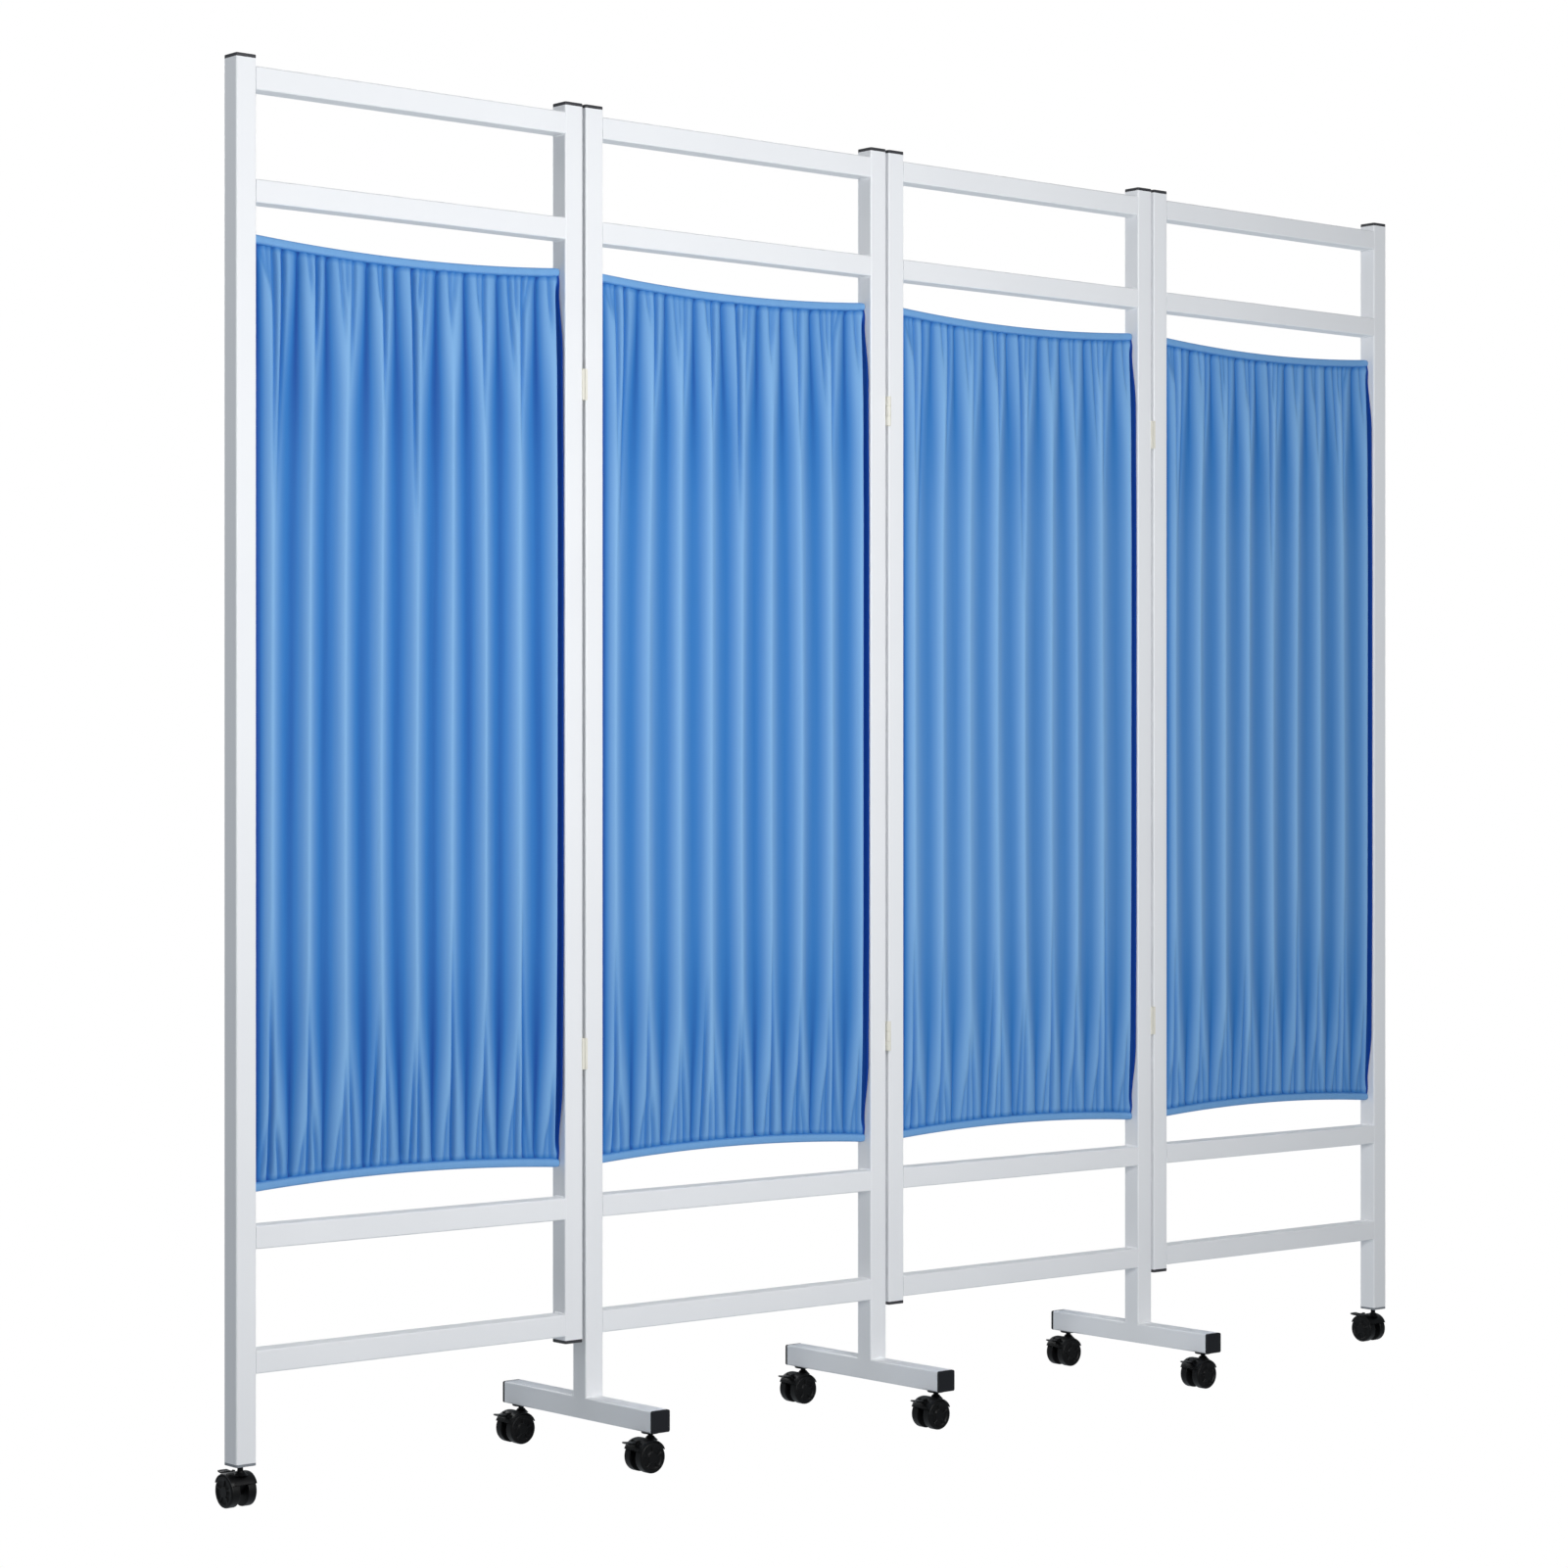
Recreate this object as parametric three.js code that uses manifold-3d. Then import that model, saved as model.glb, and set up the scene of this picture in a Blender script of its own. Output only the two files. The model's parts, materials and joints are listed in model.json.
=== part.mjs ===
// A four-panel ward privacy screen on wheels, in millimetres.
// +X runs along the flat row of panels, +Y points to the rear and +Z points up.
// The origin lies on the floor, in the middle of the row and of the three foot bars.
import * as THREE from 'three';
import { mergeVertices } from 'three/addons/utils/BufferGeometryUtils.js';
import Module from 'manifold-3d';

const wasm = await Module();
wasm.setup();

// The square tube that all the frames and foot bars are cut from
const tubeSide = 30;
const tubeWall = 1.5;
const tubeCorner = 2;
const ventRadius = 5;

// The panels
const panelCount = 4;
const panelWidth = 553;
const jointGap = 5;
const postTop = 1849;
const lowestRailHeight = 171;
const lowerRailGap = 129;
const upperRailGap = 114;
const topRailDrop = 9.5;
const shortPostTail = 5.5;
const panelForward = 8;

// The foot bars
const undersideHeight = 54;
const footTubeLength = 330;
const footPlugThickness = 5;
const stemInset = 19;
const socketWall = 3;
const socketRoof = 4;
const collarRadius = 12.5;
const collarThickness = 3;

// Caps and inserts pushed into the tube ends
const capThickness = 5;
const spigotLength = 15;
const spigotClearance = 0.3;
const insertThickness = 4;
const insertSpigotLength = 24;

// The curtains
const hemHeight = 12.5;
const hemThickness = 5;
const clothThickness = 2.4;
const topHemDrop = 38;
const bottomHemLift = 41;
const topHemSag = 10;
const bottomHemRise = 9.5;
const hemEndClearance = 0.3;
const clothEdgeInset = 5;
const clothEdgeSlack = 2;
const foldDepth = 11.5;
const hemFoldDepth = 3.5;
const pleatHeight = 100;
const foldDrift = 4;
const foldDepthLossShare = 0.25;
const foldCount = 8.5;
const pleatsPerFold = 2;
const columnsPerPleat = 3;
const driftWaves = 2.6;
const depthWaves = 3.7;

// The hinges
const hingeHeight = 43;
const upperHingeHeight = 1470;
const lowerHingeHeight = 555;
const leafThickness = 2.2;
const knuckleRadius = 3.5;
const knuckleGap = 0.3;
const knuckleRelief = 0.4;
const hingeAxisOffset = 2.5;
const pinRadius = 1.5;
const pinClearance = 0.35;
const lipWidth = 2;
const lipThickness = 1.2;

// The twin-wheel casters
const wheelRadius = 21;
const wheelWidth = 13;
const wheelSideGap = 0.5;
const webWidth = 11;
const casterTrail = 10;
const axleRadius = 3;
const axleClearance = 0.3;
const hubRadius = 6.5;
const tyreChamfer = 1.2;
const rimDepth = 1.6;
const rimWidth = 4;
const wellClearance = 1.2;
const hoodThickness = 1.8;
const hoodEdgeAngle = 28;
const webEdgeAngle = 38;
const stemRadius = 3.75;
const stemClearance = 0.35;
const stemInsertion = 19;
const stemEndClearance = 1;
const bossHeight = 46;

// The brake pedal, which rocks on two ears on the back of the hood
const pedalPivotReach = 15;
const pedalPivotHeight = 42.2;
const pedalPinRadius = 1;
const pedalPinClearance = 0.3;
const pedalEyeRadius = 2;
const pedalArmWidth = 9;
const pedalBladeWidth = 16;
const pedalBladeLength = 14;
const pedalReach = 34;
const pedalThickness = 3;
const pedalDrop = 1.3;
const earThickness = 2;
const earRadius = 2.8;
const earClearance = 0.4;

// How finely round forms are faceted: an outline's arc has twice the steps given for it
const tubeCornerSteps = 1;
const wheelSides = 16;
const roundSides = 10;
const smallRoundSides = 6;
const hoodSteps = 4;
const webSteps = 2;
const earSteps = 1;

// How far a cut runs past what it cuts
const overrun = 2;

// Sizes that follow from the ones above
const bore = tubeSide - 2 * tubeWall;
const halfTube = tubeSide / 2;
const panelPitch = panelWidth + jointGap;
const footTop = undersideHeight + tubeSide;
const stemSpacing = footTubeLength - 2 * stemInset;
const lowestRailTop = lowestRailHeight + tubeSide;
const lowerRailHeight = lowestRailTop + lowerRailGap;
const topRailHeight = postTop - topRailDrop - tubeSide;
const upperRailHeight = topRailHeight - upperRailGap - tubeSide;
const shortPostBottom = lowestRailHeight - shortPostTail;
const endPostBottom = undersideHeight + insertThickness;
const stemBoreRadius = stemRadius + stemClearance;
const stemTop = undersideHeight + stemInsertion;
const stemBoreTop = stemTop + stemEndClearance;
const wellRadius = wheelRadius + wellClearance;
const hoodRadius = wellRadius + hoodThickness;
const wheelInnerFace = webWidth / 2 + wheelSideGap;
const wheelOuterFace = wheelInnerFace + wheelWidth;

const powderCoat = new THREE.MeshStandardMaterial({ color: 0xeeeff2, roughness: 0.45, metalness: 0.1 });
const darkPlastic = new THREE.MeshStandardMaterial({ color: 0x4a4a4e, roughness: 0.5, metalness: 0 });
const insertPlastic = new THREE.MeshStandardMaterial({ color: 0x8c9096, roughness: 0.55, metalness: 0 });
const casterPlastic = new THREE.MeshStandardMaterial({ color: 0x141416, roughness: 0.4, metalness: 0 });
const nylon = new THREE.MeshStandardMaterial({ color: 0xe5e2d6, roughness: 0.5, metalness: 0 });
const cloth = new THREE.MeshStandardMaterial({ color: 0x4f86c6, roughness: 0.9, metalness: 0 });

// A closed geometry, with its shared corners merged, becomes a solid that can be joined and cut.
function solidOf(geometry) {
  geometry.deleteAttribute('normal');
  geometry.deleteAttribute('uv');
  const merged = mergeVertices(geometry);
  const corners = merged.index.array;
  const kept = [];
  for (let i = 0; i < corners.length; i += 3) {
    const [a, b, c] = corners.slice(i, i + 3);
    if (a !== b && b !== c && c !== a) kept.push(a, b, c);
  }
  return new wasm.Manifold(new wasm.Mesh({
    numProp: 3,
    vertProperties: new Float32Array(merged.attributes.position.array),
    triVerts: new Uint32Array(kept),
  }));
}

// The joined or cut solid goes back into a geometry.
function geometryOf(solid) {
  const mesh = solid.getMesh();
  const geometry = new THREE.BufferGeometry();
  geometry.setAttribute('position', new THREE.BufferAttribute(mesh.vertProperties, 3));
  geometry.setIndex(new THREE.BufferAttribute(mesh.triVerts, 1));
  geometry.computeVertexNormals();
  return geometry;
}

function piece(name, solid, material) {
  const mesh = new THREE.Mesh(geometryOf(solid), material);
  mesh.name = name;
  return mesh;
}

// A square outline round the origin, with round corners where a radius is given.
function squareOutline(side, radius) {
  const half = side / 2;
  const shape = new THREE.Shape();
  if (radius === 0) {
    shape.moveTo(-half, -half);
    shape.lineTo(half, -half);
    shape.lineTo(half, half);
    shape.lineTo(-half, half);
    return shape;
  }
  const inner = half - radius;
  shape.absarc(inner, inner, radius, 0, Math.PI / 2);
  shape.absarc(-inner, inner, radius, Math.PI / 2, Math.PI);
  shape.absarc(-inner, -inner, radius, Math.PI, 1.5 * Math.PI);
  shape.absarc(inner, -inner, radius, 1.5 * Math.PI, 2 * Math.PI);
  return shape;
}

function extruded(shape, length) {
  const options = { depth: length, bevelEnabled: false, curveSegments: tubeCornerSteps };
  return new THREE.ExtrudeGeometry(shape, options);
}

// Square bars: upright from one height to another, along X, or along Y round a middle point.
function uprightBar(side, radius, x, bottom, top) {
  return solidOf(extruded(squareOutline(side, radius), top - bottom).translate(x, 0, bottom));
}

function barAlongX(side, radius, start, end, height) {
  const bar = extruded(squareOutline(side, radius), end - start).rotateY(Math.PI / 2);
  return solidOf(bar.translate(start, 0, height));
}

function barAlongY(side, radius, length, height) {
  const bar = extruded(squareOutline(side, radius), length).rotateX(-Math.PI / 2);
  return solidOf(bar.translate(0, -length / 2, height));
}

// Round bars: upright from one height to another, and across a caster, along its local Y axis.
function uprightRound(radius, x, y, bottom, top, sides) {
  const length = top - bottom;
  const round = new THREE.CylinderGeometry(radius, radius, length, sides).rotateX(Math.PI / 2);
  return solidOf(round.translate(x, y, bottom + length / 2));
}

function roundAlongY(radius, x, height, start, end, sides) {
  const length = end - start;
  const round = new THREE.CylinderGeometry(radius, radius, length, sides);
  return solidOf(round.translate(x, start + length / 2, height));
}

function boxBetween(low, high) {
  const [dx, dy, dz] = low.map((value, axis) => high[axis] - value);
  const box = new THREE.BoxGeometry(dx, dy, dz);
  return solidOf(box.translate(low[0] + dx / 2, low[1] + dy / 2, low[2] + dz / 2));
}

// An outline in the caster's side view, X across and Z up, carried along Y between two places.
function sidePlate(shape, start, end, steps) {
  const options = { depth: end - start, bevelEnabled: false, curveSegments: steps };
  const plate = new THREE.ExtrudeGeometry(shape, options).rotateX(Math.PI / 2);
  return solidOf(plate.translate(0, end, 0));
}

// One panel's frame: two posts and four rails, welded into one, with vents between their bores.
function frameSolid(leftBottom, rightBottom) {
  const leftPost = halfTube;
  const rightPost = panelWidth - halfTube;
  const rails = [lowestRailHeight, lowerRailHeight, upperRailHeight, topRailHeight];
  const weldReach = tubeSide - tubeCorner;
  let frame = uprightBar(tubeSide, tubeCorner, leftPost, leftBottom, postTop);
  frame = frame.add(uprightBar(tubeSide, tubeCorner, rightPost, rightBottom, postTop));
  for (const bottom of rails) {
    const middle = bottom + halfTube;
    frame = frame.add(barAlongX(tubeSide, tubeCorner, weldReach, panelWidth - weldReach, middle));
  }
  for (const [x, bottom] of [[leftPost, leftBottom], [rightPost, rightBottom]]) {
    frame = frame.subtract(uprightBar(bore, 0, x, bottom - overrun, postTop + overrun));
  }
  for (const bottom of rails) {
    const middle = bottom + halfTube;
    frame = frame.subtract(barAlongX(bore, 0, tubeSide, panelWidth - tubeSide, middle));
    frame = frame.subtract(barAlongX(2 * ventRadius, 0, leftPost, rightPost, middle));
  }
  return frame;
}

// A foot bar, closed by its end plugs, with a socket and a collar for each caster stem.
// A vent in its roof opens into the bore of the post that stands on it.
function footBarSolid() {
  const middle = undersideHeight + halfTube;
  let bar = barAlongY(tubeSide, tubeCorner, footTubeLength + 2 * footPlugThickness, middle);
  bar = bar.subtract(barAlongY(bore, 0, footTubeLength, middle));
  const ventY = -panelForward;
  bar = bar.subtract(uprightRound(ventRadius, 0, ventY, middle, footTop + overrun, smallRoundSides));
  for (const y of [-stemSpacing / 2, stemSpacing / 2]) {
    const collarBottom = undersideHeight - collarThickness;
    const socketRadius = stemBoreRadius + socketWall;
    const socketTop = stemBoreTop + socketRoof;
    bar = bar.add(uprightRound(collarRadius, 0, y, collarBottom, undersideHeight + tubeWall, roundSides));
    bar = bar.add(uprightRound(socketRadius, 0, y, undersideHeight, socketTop, roundSides));
    bar = bar.subtract(uprightRound(stemBoreRadius, 0, y, collarBottom - overrun, stemBoreTop, roundSides));
  }
  return bar;
}

// A cap for a tube end, at the top with direction 1 or at the bottom with direction -1: a plate as
// wide as the tube, and a spigot that fits its bore.
function capSolid(thickness, spigot, tubeEnd, direction) {
  const span = (a, b) => [Math.min(a, b), Math.max(a, b)];
  const [plateBottom, plateTop] = span(tubeEnd, tubeEnd + direction * thickness);
  const [spigotBottom, spigotTop] = span(tubeEnd + direction * thickness / 2, tubeEnd - direction * spigot);
  const plate = uprightBar(tubeSide, tubeCorner, 0, plateBottom, plateTop);
  return plate.add(uprightBar(bore - 2 * spigotClearance, 0, 0, spigotBottom, spigotTop));
}

// The insert that closes an end post's foot and holds its caster's stem.
function stemInsertSolid() {
  const insert = capSolid(insertThickness, insertSpigotLength, endPostBottom, -1);
  return insert.subtract(
    uprightRound(stemBoreRadius, 0, 0, undersideHeight - overrun, stemBoreTop, roundSides));
}

// One curtain, as a folded sheet. Its main folds run from near the bottom hem to near the top hem,
// and at each hem, where the cloth is gathered, every fold splits into smaller pleats. Rows of
// points lie across the sheet, and each row's own wave, a cosine, sets how far they stand back.
function curtainGeometry() {
  const columnsPerFold = pleatsPerFold * columnsPerPleat;
  const columns = foldCount * columnsPerFold;
  const bottomEdge = lowerRailHeight + tubeSide + bottomHemLift;
  const topEdge = upperRailHeight - topHemDrop;
  const hem = { wave: columnsPerPleat, depth: hemFoldDepth, thickness: hemThickness, inset: 0, drift: 0 };
  const folds = { wave: columnsPerFold, depth: foldDepth, thickness: clothThickness, inset: clothEdgeInset };
  const rows = [
    { ...hem, share: 0, rise: 0 },
    { ...hem, share: 0, rise: hemHeight },
    { ...folds, share: 0, rise: pleatHeight, drift: -foldDrift },
    { ...folds, share: 0.5, rise: 0, drift: foldDrift, inset: clothEdgeSlack },
    { ...folds, share: 1, rise: -pleatHeight, drift: -foldDrift },
    { ...hem, share: 1, rise: -hemHeight },
    { ...hem, share: 1, rise: 0 },
  ];
  const front = [];
  const back = [];
  for (const row of rows) {
    const edge = tubeSide + hemEndClearance + row.inset;
    for (let column = 0; column <= columns; column++) {
      const across = column / columns;
      const bow = 1 - (2 * across - 1) ** 2;
      const low = bottomEdge + bottomHemRise * bow;
      const high = topEdge - topHemSag * bow;
      const height = low + (high - low) * row.share + row.rise;
      const drift = row.drift * Math.sin(Math.PI * across) * Math.sin(2 * Math.PI * driftWaves * across);
      const x = edge + (panelWidth - 2 * edge) * across + drift;
      const loss = foldDepthLossShare * Math.sin(Math.PI * depthWaves * across) ** 2;
      const y = row.depth * (1 - loss) * Math.cos(2 * Math.PI * column / row.wave);
      front.push([x, y - row.thickness / 2, height]);
      back.push([x, y + row.thickness / 2, height]);
    }
  }
  const line = columns + 1;
  const triangles = [];
  const quad = (a, b, c, d) => triangles.push(a, b, c, a, c, d);
  const behind = front.length;
  for (let level = 0; level < rows.length - 1; level++) {
    for (let column = 0; column < columns; column++) {
      const a = level * line + column;
      quad(a, a + 1, a + line + 1, a + line);
      quad(behind + a + 1, behind + a, behind + a + line, behind + a + line + 1);
    }
    const left = level * line;
    const right = left + columns;
    quad(behind + left, left, left + line, behind + left + line);
    quad(right, behind + right, behind + right + line, right + line);
  }
  const lastRow = (rows.length - 1) * line;
  for (let column = 0; column < columns; column++) {
    quad(behind + column, behind + column + 1, column + 1, column);
    const top = lastRow + column;
    quad(top, top + 1, behind + top + 1, behind + top);
  }
  const geometry = new THREE.BufferGeometry();
  geometry.setAttribute('position', new THREE.Float32BufferAttribute([...front, ...back].flat(), 3));
  geometry.setIndex(triangles);
  geometry.computeVertexNormals();
  return geometry;
}

// One hinge leaf round its pin axis at the origin, for the right-hand post and a barrel at the rear.
// The leaf lies against the post's side face, and its lip folds over the post's far corner.
function leafSolid(holdsPin) {
  const outer = jointGap / 2;
  const inner = outer - leafThickness;
  const half = hingeHeight / 2;
  const farFace = -(hingeAxisOffset + tubeSide);
  const relief = -(knuckleRadius + knuckleRelief);
  const knuckle = (hingeHeight - 2 * knuckleGap) / 3;
  const ends = [[-half, knuckle - half], [half - knuckle, half]];
  const middle = [[-knuckle / 2, knuckle / 2]];
  let leaf = boxBetween([inner, farFace - lipThickness, -half], [outer, relief, half]);
  leaf = leaf.add(boxBetween([inner, farFace - lipThickness, -half], [outer + lipWidth, farFace, half]));
  for (const [bottom, top] of holdsPin ? ends : middle) {
    leaf = leaf.add(boxBetween([inner, relief - leafThickness, bottom], [outer, 0, top]));
    leaf = leaf.add(uprightRound(knuckleRadius, 0, 0, bottom, top, roundSides));
  }
  if (holdsPin) return leaf.add(uprightRound(pinRadius, 0, 0, -half, half, smallRoundSides));
  const pinHole = pinRadius + pinClearance;
  return leaf.subtract(uprightRound(pinHole, 0, 0, -half, half, smallRoundSides));
}

// The two leaves of one hinge: the left one has the middle knuckle, the right one the pin.
function leafPair() {
  const right = leafSolid(true);
  const left = leafSolid(false).mirror([1, 0, 0]);
  return { left, right };
}

// The caster's housing, round its stem axis at the origin and standing on the floor: a web between
// the wheels, a hood over them, the stem, and the brake pedal's two ears and pin.
function casterHousingSolid() {
  const axleX = -casterTrail;
  const axleHeight = wheelRadius;
  const hoodStart = THREE.MathUtils.degToRad(hoodEdgeAngle);
  const hoodEnd = Math.PI - hoodStart;
  const hood = new THREE.Shape();
  hood.absarc(axleX, axleHeight, hoodRadius, hoodStart, hoodEnd);
  hood.absarc(axleX, axleHeight, wellRadius, hoodEnd, hoodStart, true);
  const webStart = THREE.MathUtils.degToRad(webEdgeAngle);
  const web = new THREE.Shape();
  web.moveTo(axleX - hubRadius, axleHeight);
  web.lineTo(axleX + hubRadius, axleHeight);
  web.absarc(axleX, axleHeight, hoodRadius - hoodThickness / 2, webStart, Math.PI - webStart);
  const earX = axleX - pedalPivotReach;
  const earInner = pedalArmWidth / 2 + earClearance;
  const earOuter = earInner + earThickness;
  const hoodMiddle = wellRadius + hoodThickness / 2;
  const hoodHeightAt = (reach) => axleHeight + Math.sqrt(hoodMiddle ** 2 - reach ** 2);
  const ear = new THREE.Shape();
  ear.moveTo(earX - earRadius, hoodHeightAt(pedalPivotReach + earRadius));
  ear.lineTo(earX + earRadius, hoodHeightAt(pedalPivotReach - earRadius));
  ear.absarc(earX, pedalPivotHeight, earRadius, 0, Math.PI);

  let housing = sidePlate(hood, -wheelOuterFace, wheelOuterFace, hoodSteps);
  housing = housing.add(sidePlate(web, -webWidth / 2, webWidth / 2, webSteps));
  housing = housing.add(roundAlongY(hubRadius, axleX, axleHeight, -webWidth / 2, webWidth / 2, roundSides));
  housing = housing.add(uprightRound(webWidth / 2, 0, 0, axleHeight, bossHeight, roundSides));
  housing = housing.add(sidePlate(ear, earInner, earOuter, earSteps));
  housing = housing.add(sidePlate(ear, -earOuter, -earInner, earSteps));
  housing = housing.add(
    roundAlongY(pedalPinRadius, earX, pedalPivotHeight, -earOuter, earOuter, smallRoundSides));
  housing = housing.add(uprightRound(stemRadius, 0, 0, axleHeight, stemTop, roundSides));
  const axleHole = axleRadius + axleClearance;
  return housing.subtract(roundAlongY(axleHole, axleX, axleHeight, -webWidth, webWidth, roundSides));
}

// Both wheels on their axle, which turn as one. A flat facet lies on the floor.
function wheelsetSolid() {
  const corner = wheelRadius / Math.cos(Math.PI / wheelSides);
  const dish = wheelOuterFace - rimDepth;
  const half = [
    [axleRadius, 0],
    [axleRadius, wheelInnerFace],
    [corner, wheelInnerFace],
    [corner, wheelOuterFace - tyreChamfer],
    [corner - tyreChamfer, wheelOuterFace],
    [corner - rimWidth, wheelOuterFace],
    [corner - rimWidth - rimDepth, dish],
    [0, dish],
  ];
  const mirrored = half.slice(1).reverse().map(([radius, y]) => [radius, -y]);
  const profile = [...mirrored, ...half.slice(1)].map(([radius, y]) => new THREE.Vector2(radius, y));
  const wheels = new THREE.LatheGeometry(profile, wheelSides, Math.PI / wheelSides);
  return solidOf(wheels.translate(-casterTrail, 0, wheelRadius));
}

// The brake pedal: an eye on the ears' pin, an arm between the ears and a wide blade at the back.
function pedalSolid() {
  const eyeX = -casterTrail - pedalPivotReach;
  const tipX = -casterTrail - pedalReach;
  const bladeStart = tipX + pedalBladeLength;
  const blade = pedalPivotHeight - pedalDrop;
  const underside = blade - pedalThickness / 2;
  const topside = blade + pedalThickness / 2;
  const arm = new THREE.Shape();
  arm.moveTo(eyeX, pedalPivotHeight - pedalEyeRadius);
  arm.lineTo(eyeX, pedalPivotHeight + pedalEyeRadius);
  arm.lineTo(bladeStart, topside);
  arm.lineTo(tipX, topside);
  arm.lineTo(tipX, underside);
  arm.lineTo(bladeStart, underside);
  let pedal = sidePlate(arm, -pedalArmWidth / 2, pedalArmWidth / 2, earSteps);
  pedal = pedal.add(roundAlongY(
    pedalEyeRadius, eyeX, pedalPivotHeight, -pedalArmWidth / 2, pedalArmWidth / 2, smallRoundSides));
  const half = pedalBladeWidth / 2;
  pedal = pedal.add(boxBetween([tipX, -half, underside], [bladeStart, half, topside]));
  const hole = pedalPinRadius + pedalPinClearance;
  return pedal.subtract(
    roundAlongY(hole, eyeX, pedalPivotHeight, -pedalArmWidth, pedalArmWidth, smallRoundSides));
}

const shapes = {
  footBar: footBarSolid(),
  topCap: capSolid(capThickness, spigotLength, postTop, 1),
  tailCap: capSolid(capThickness, spigotLength, shortPostBottom, -1),
  stemInsert: stemInsertSolid(),
  leaves: leafPair(),
  casterHousing: casterHousingSolid(),
  wheelset: wheelsetSolid(),
  pedal: pedalSolid(),
};

// A caster under a stem position, turned so that it trails in the given direction.
function caster(number, x, y, heading) {
  const group = new THREE.Group();
  group.position.set(x, y, 0);
  group.rotation.z = heading;
  group.add(piece(`caster_${number}_housing`, shapes.casterHousing, casterPlastic));
  group.add(piece(`caster_${number}_wheels`, shapes.wheelset, casterPlastic));
  group.add(piece(`caster_${number}_brake_pedal`, shapes.pedal, casterPlastic));
  return group;
}

function placed(mesh, x, y, z) {
  mesh.position.set(x, y, z);
  return mesh;
}

// What stands under each panel's two posts: a caster alone, nothing, or a foot bar on two casters.
const feet = [
  { left: 'caster', right: 'none' },
  { left: 'bar', right: 'bar' },
  { left: 'none', right: 'bar' },
  { left: 'none', right: 'caster' },
];
const postBottoms = { caster: endPostBottom, none: shortPostBottom, bar: footTop };
const trailRear = -Math.PI / 2;
const trailLeft = 0;

const screen = new THREE.Group();
let casterNumber = 0;
let barNumber = 0;

feet.forEach((foot, index) => {
  const panel = index + 1;
  const left = (index - panelCount / 2) * panelPitch + jointGap / 2;
  const group = new THREE.Group();
  group.position.set(left, -panelForward, 0);
  screen.add(group);
  const frame = frameSolid(postBottoms[foot.left], postBottoms[foot.right]);
  group.add(piece(`panel_${panel}_frame`, frame, powderCoat));
  const curtain = new THREE.Mesh(curtainGeometry(), cloth);
  curtain.name = `panel_${panel}_curtain`;
  group.add(curtain);
  for (const [side, x] of [['left', halfTube], ['right', panelWidth - halfTube]]) {
    group.add(placed(piece(`panel_${panel}_${side}_post_cap`, shapes.topCap, darkPlastic), x, 0, 0));
    if (foot[side] === 'none') {
      group.add(placed(piece(`panel_${panel}_${side}_tail_cap`, shapes.tailCap, darkPlastic), x, 0, 0));
    }
    if (foot[side] === 'caster') {
      group.add(placed(piece(`panel_${panel}_stem_insert`, shapes.stemInsert, insertPlastic), x, 0, 0));
      casterNumber += 1;
      group.add(caster(casterNumber, x, 0, trailRear));
    }
    if (foot[side] === 'bar') {
      barNumber += 1;
      group.add(placed(piece(`foot_bar_${barNumber}`, shapes.footBar, powderCoat), x, panelForward, 0));
      for (const y of [-stemSpacing / 2, stemSpacing / 2]) {
        casterNumber += 1;
        group.add(caster(casterNumber, x, panelForward + y, trailLeft));
      }
    }
  }
});

// The three joints between panels, with two hinges each. The barrels of the outer joints are at
// the rear and those of the middle joint at the front, so the panels fold like a concertina.
for (let joint = 1; joint < panelCount; joint++) {
  const x = (joint - panelCount / 2) * panelPitch;
  const atFront = joint === 2;
  const reach = halfTube + hingeAxisOffset;
  for (const [level, height] of [['upper', upperHingeHeight], ['lower', lowerHingeHeight]]) {
    const group = new THREE.Group();
    group.position.set(x, (atFront ? -reach : reach) - panelForward, height);
    group.rotation.z = atFront ? Math.PI : 0;
    const pinSide = atFront ? 'left' : 'right';
    const plainSide = atFront ? 'right' : 'left';
    group.add(piece(`hinge_${joint}_${level}_${pinSide}_leaf`, shapes.leaves.right, nylon));
    group.add(piece(`hinge_${joint}_${level}_${plainSide}_leaf`, shapes.leaves.left, nylon));
    screen.add(group);
  }
}

export default screen;
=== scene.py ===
# A ward privacy screen on wheels: four hinged panels of powder-coated square tube, each with a
# gathered blue curtain, on three foot bars and eight braked twin-wheel casters.
import json

import bpy
import numpy as np
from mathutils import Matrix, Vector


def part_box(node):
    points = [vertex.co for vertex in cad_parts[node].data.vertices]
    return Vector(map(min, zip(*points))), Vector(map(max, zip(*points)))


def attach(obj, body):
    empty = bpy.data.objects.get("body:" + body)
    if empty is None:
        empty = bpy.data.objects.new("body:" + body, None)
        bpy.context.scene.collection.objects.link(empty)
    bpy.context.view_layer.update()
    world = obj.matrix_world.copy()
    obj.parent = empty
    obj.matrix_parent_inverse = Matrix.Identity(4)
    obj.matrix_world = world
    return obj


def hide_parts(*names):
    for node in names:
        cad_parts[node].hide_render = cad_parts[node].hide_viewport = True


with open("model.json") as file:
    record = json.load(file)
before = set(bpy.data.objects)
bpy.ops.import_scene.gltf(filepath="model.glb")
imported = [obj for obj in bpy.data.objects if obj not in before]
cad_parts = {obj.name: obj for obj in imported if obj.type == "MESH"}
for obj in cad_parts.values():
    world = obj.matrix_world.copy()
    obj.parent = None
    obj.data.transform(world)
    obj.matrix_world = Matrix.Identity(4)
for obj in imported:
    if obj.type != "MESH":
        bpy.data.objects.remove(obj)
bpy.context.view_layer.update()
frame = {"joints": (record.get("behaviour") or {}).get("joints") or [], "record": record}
bodies = frame["record"]["behaviour"]["bodies"]
bodyOf = {node: body for body, members in bodies.items() for node in members}
joints = {joint["name"]: joint for joint in frame["joints"]}
mm = 0.001
panels = (1, 2, 3, 4)


# Shapes, worked out in millimetres. A shell is a closed surface: its points, its four-sided faces,
# and the flat faces that close its ends.

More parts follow.
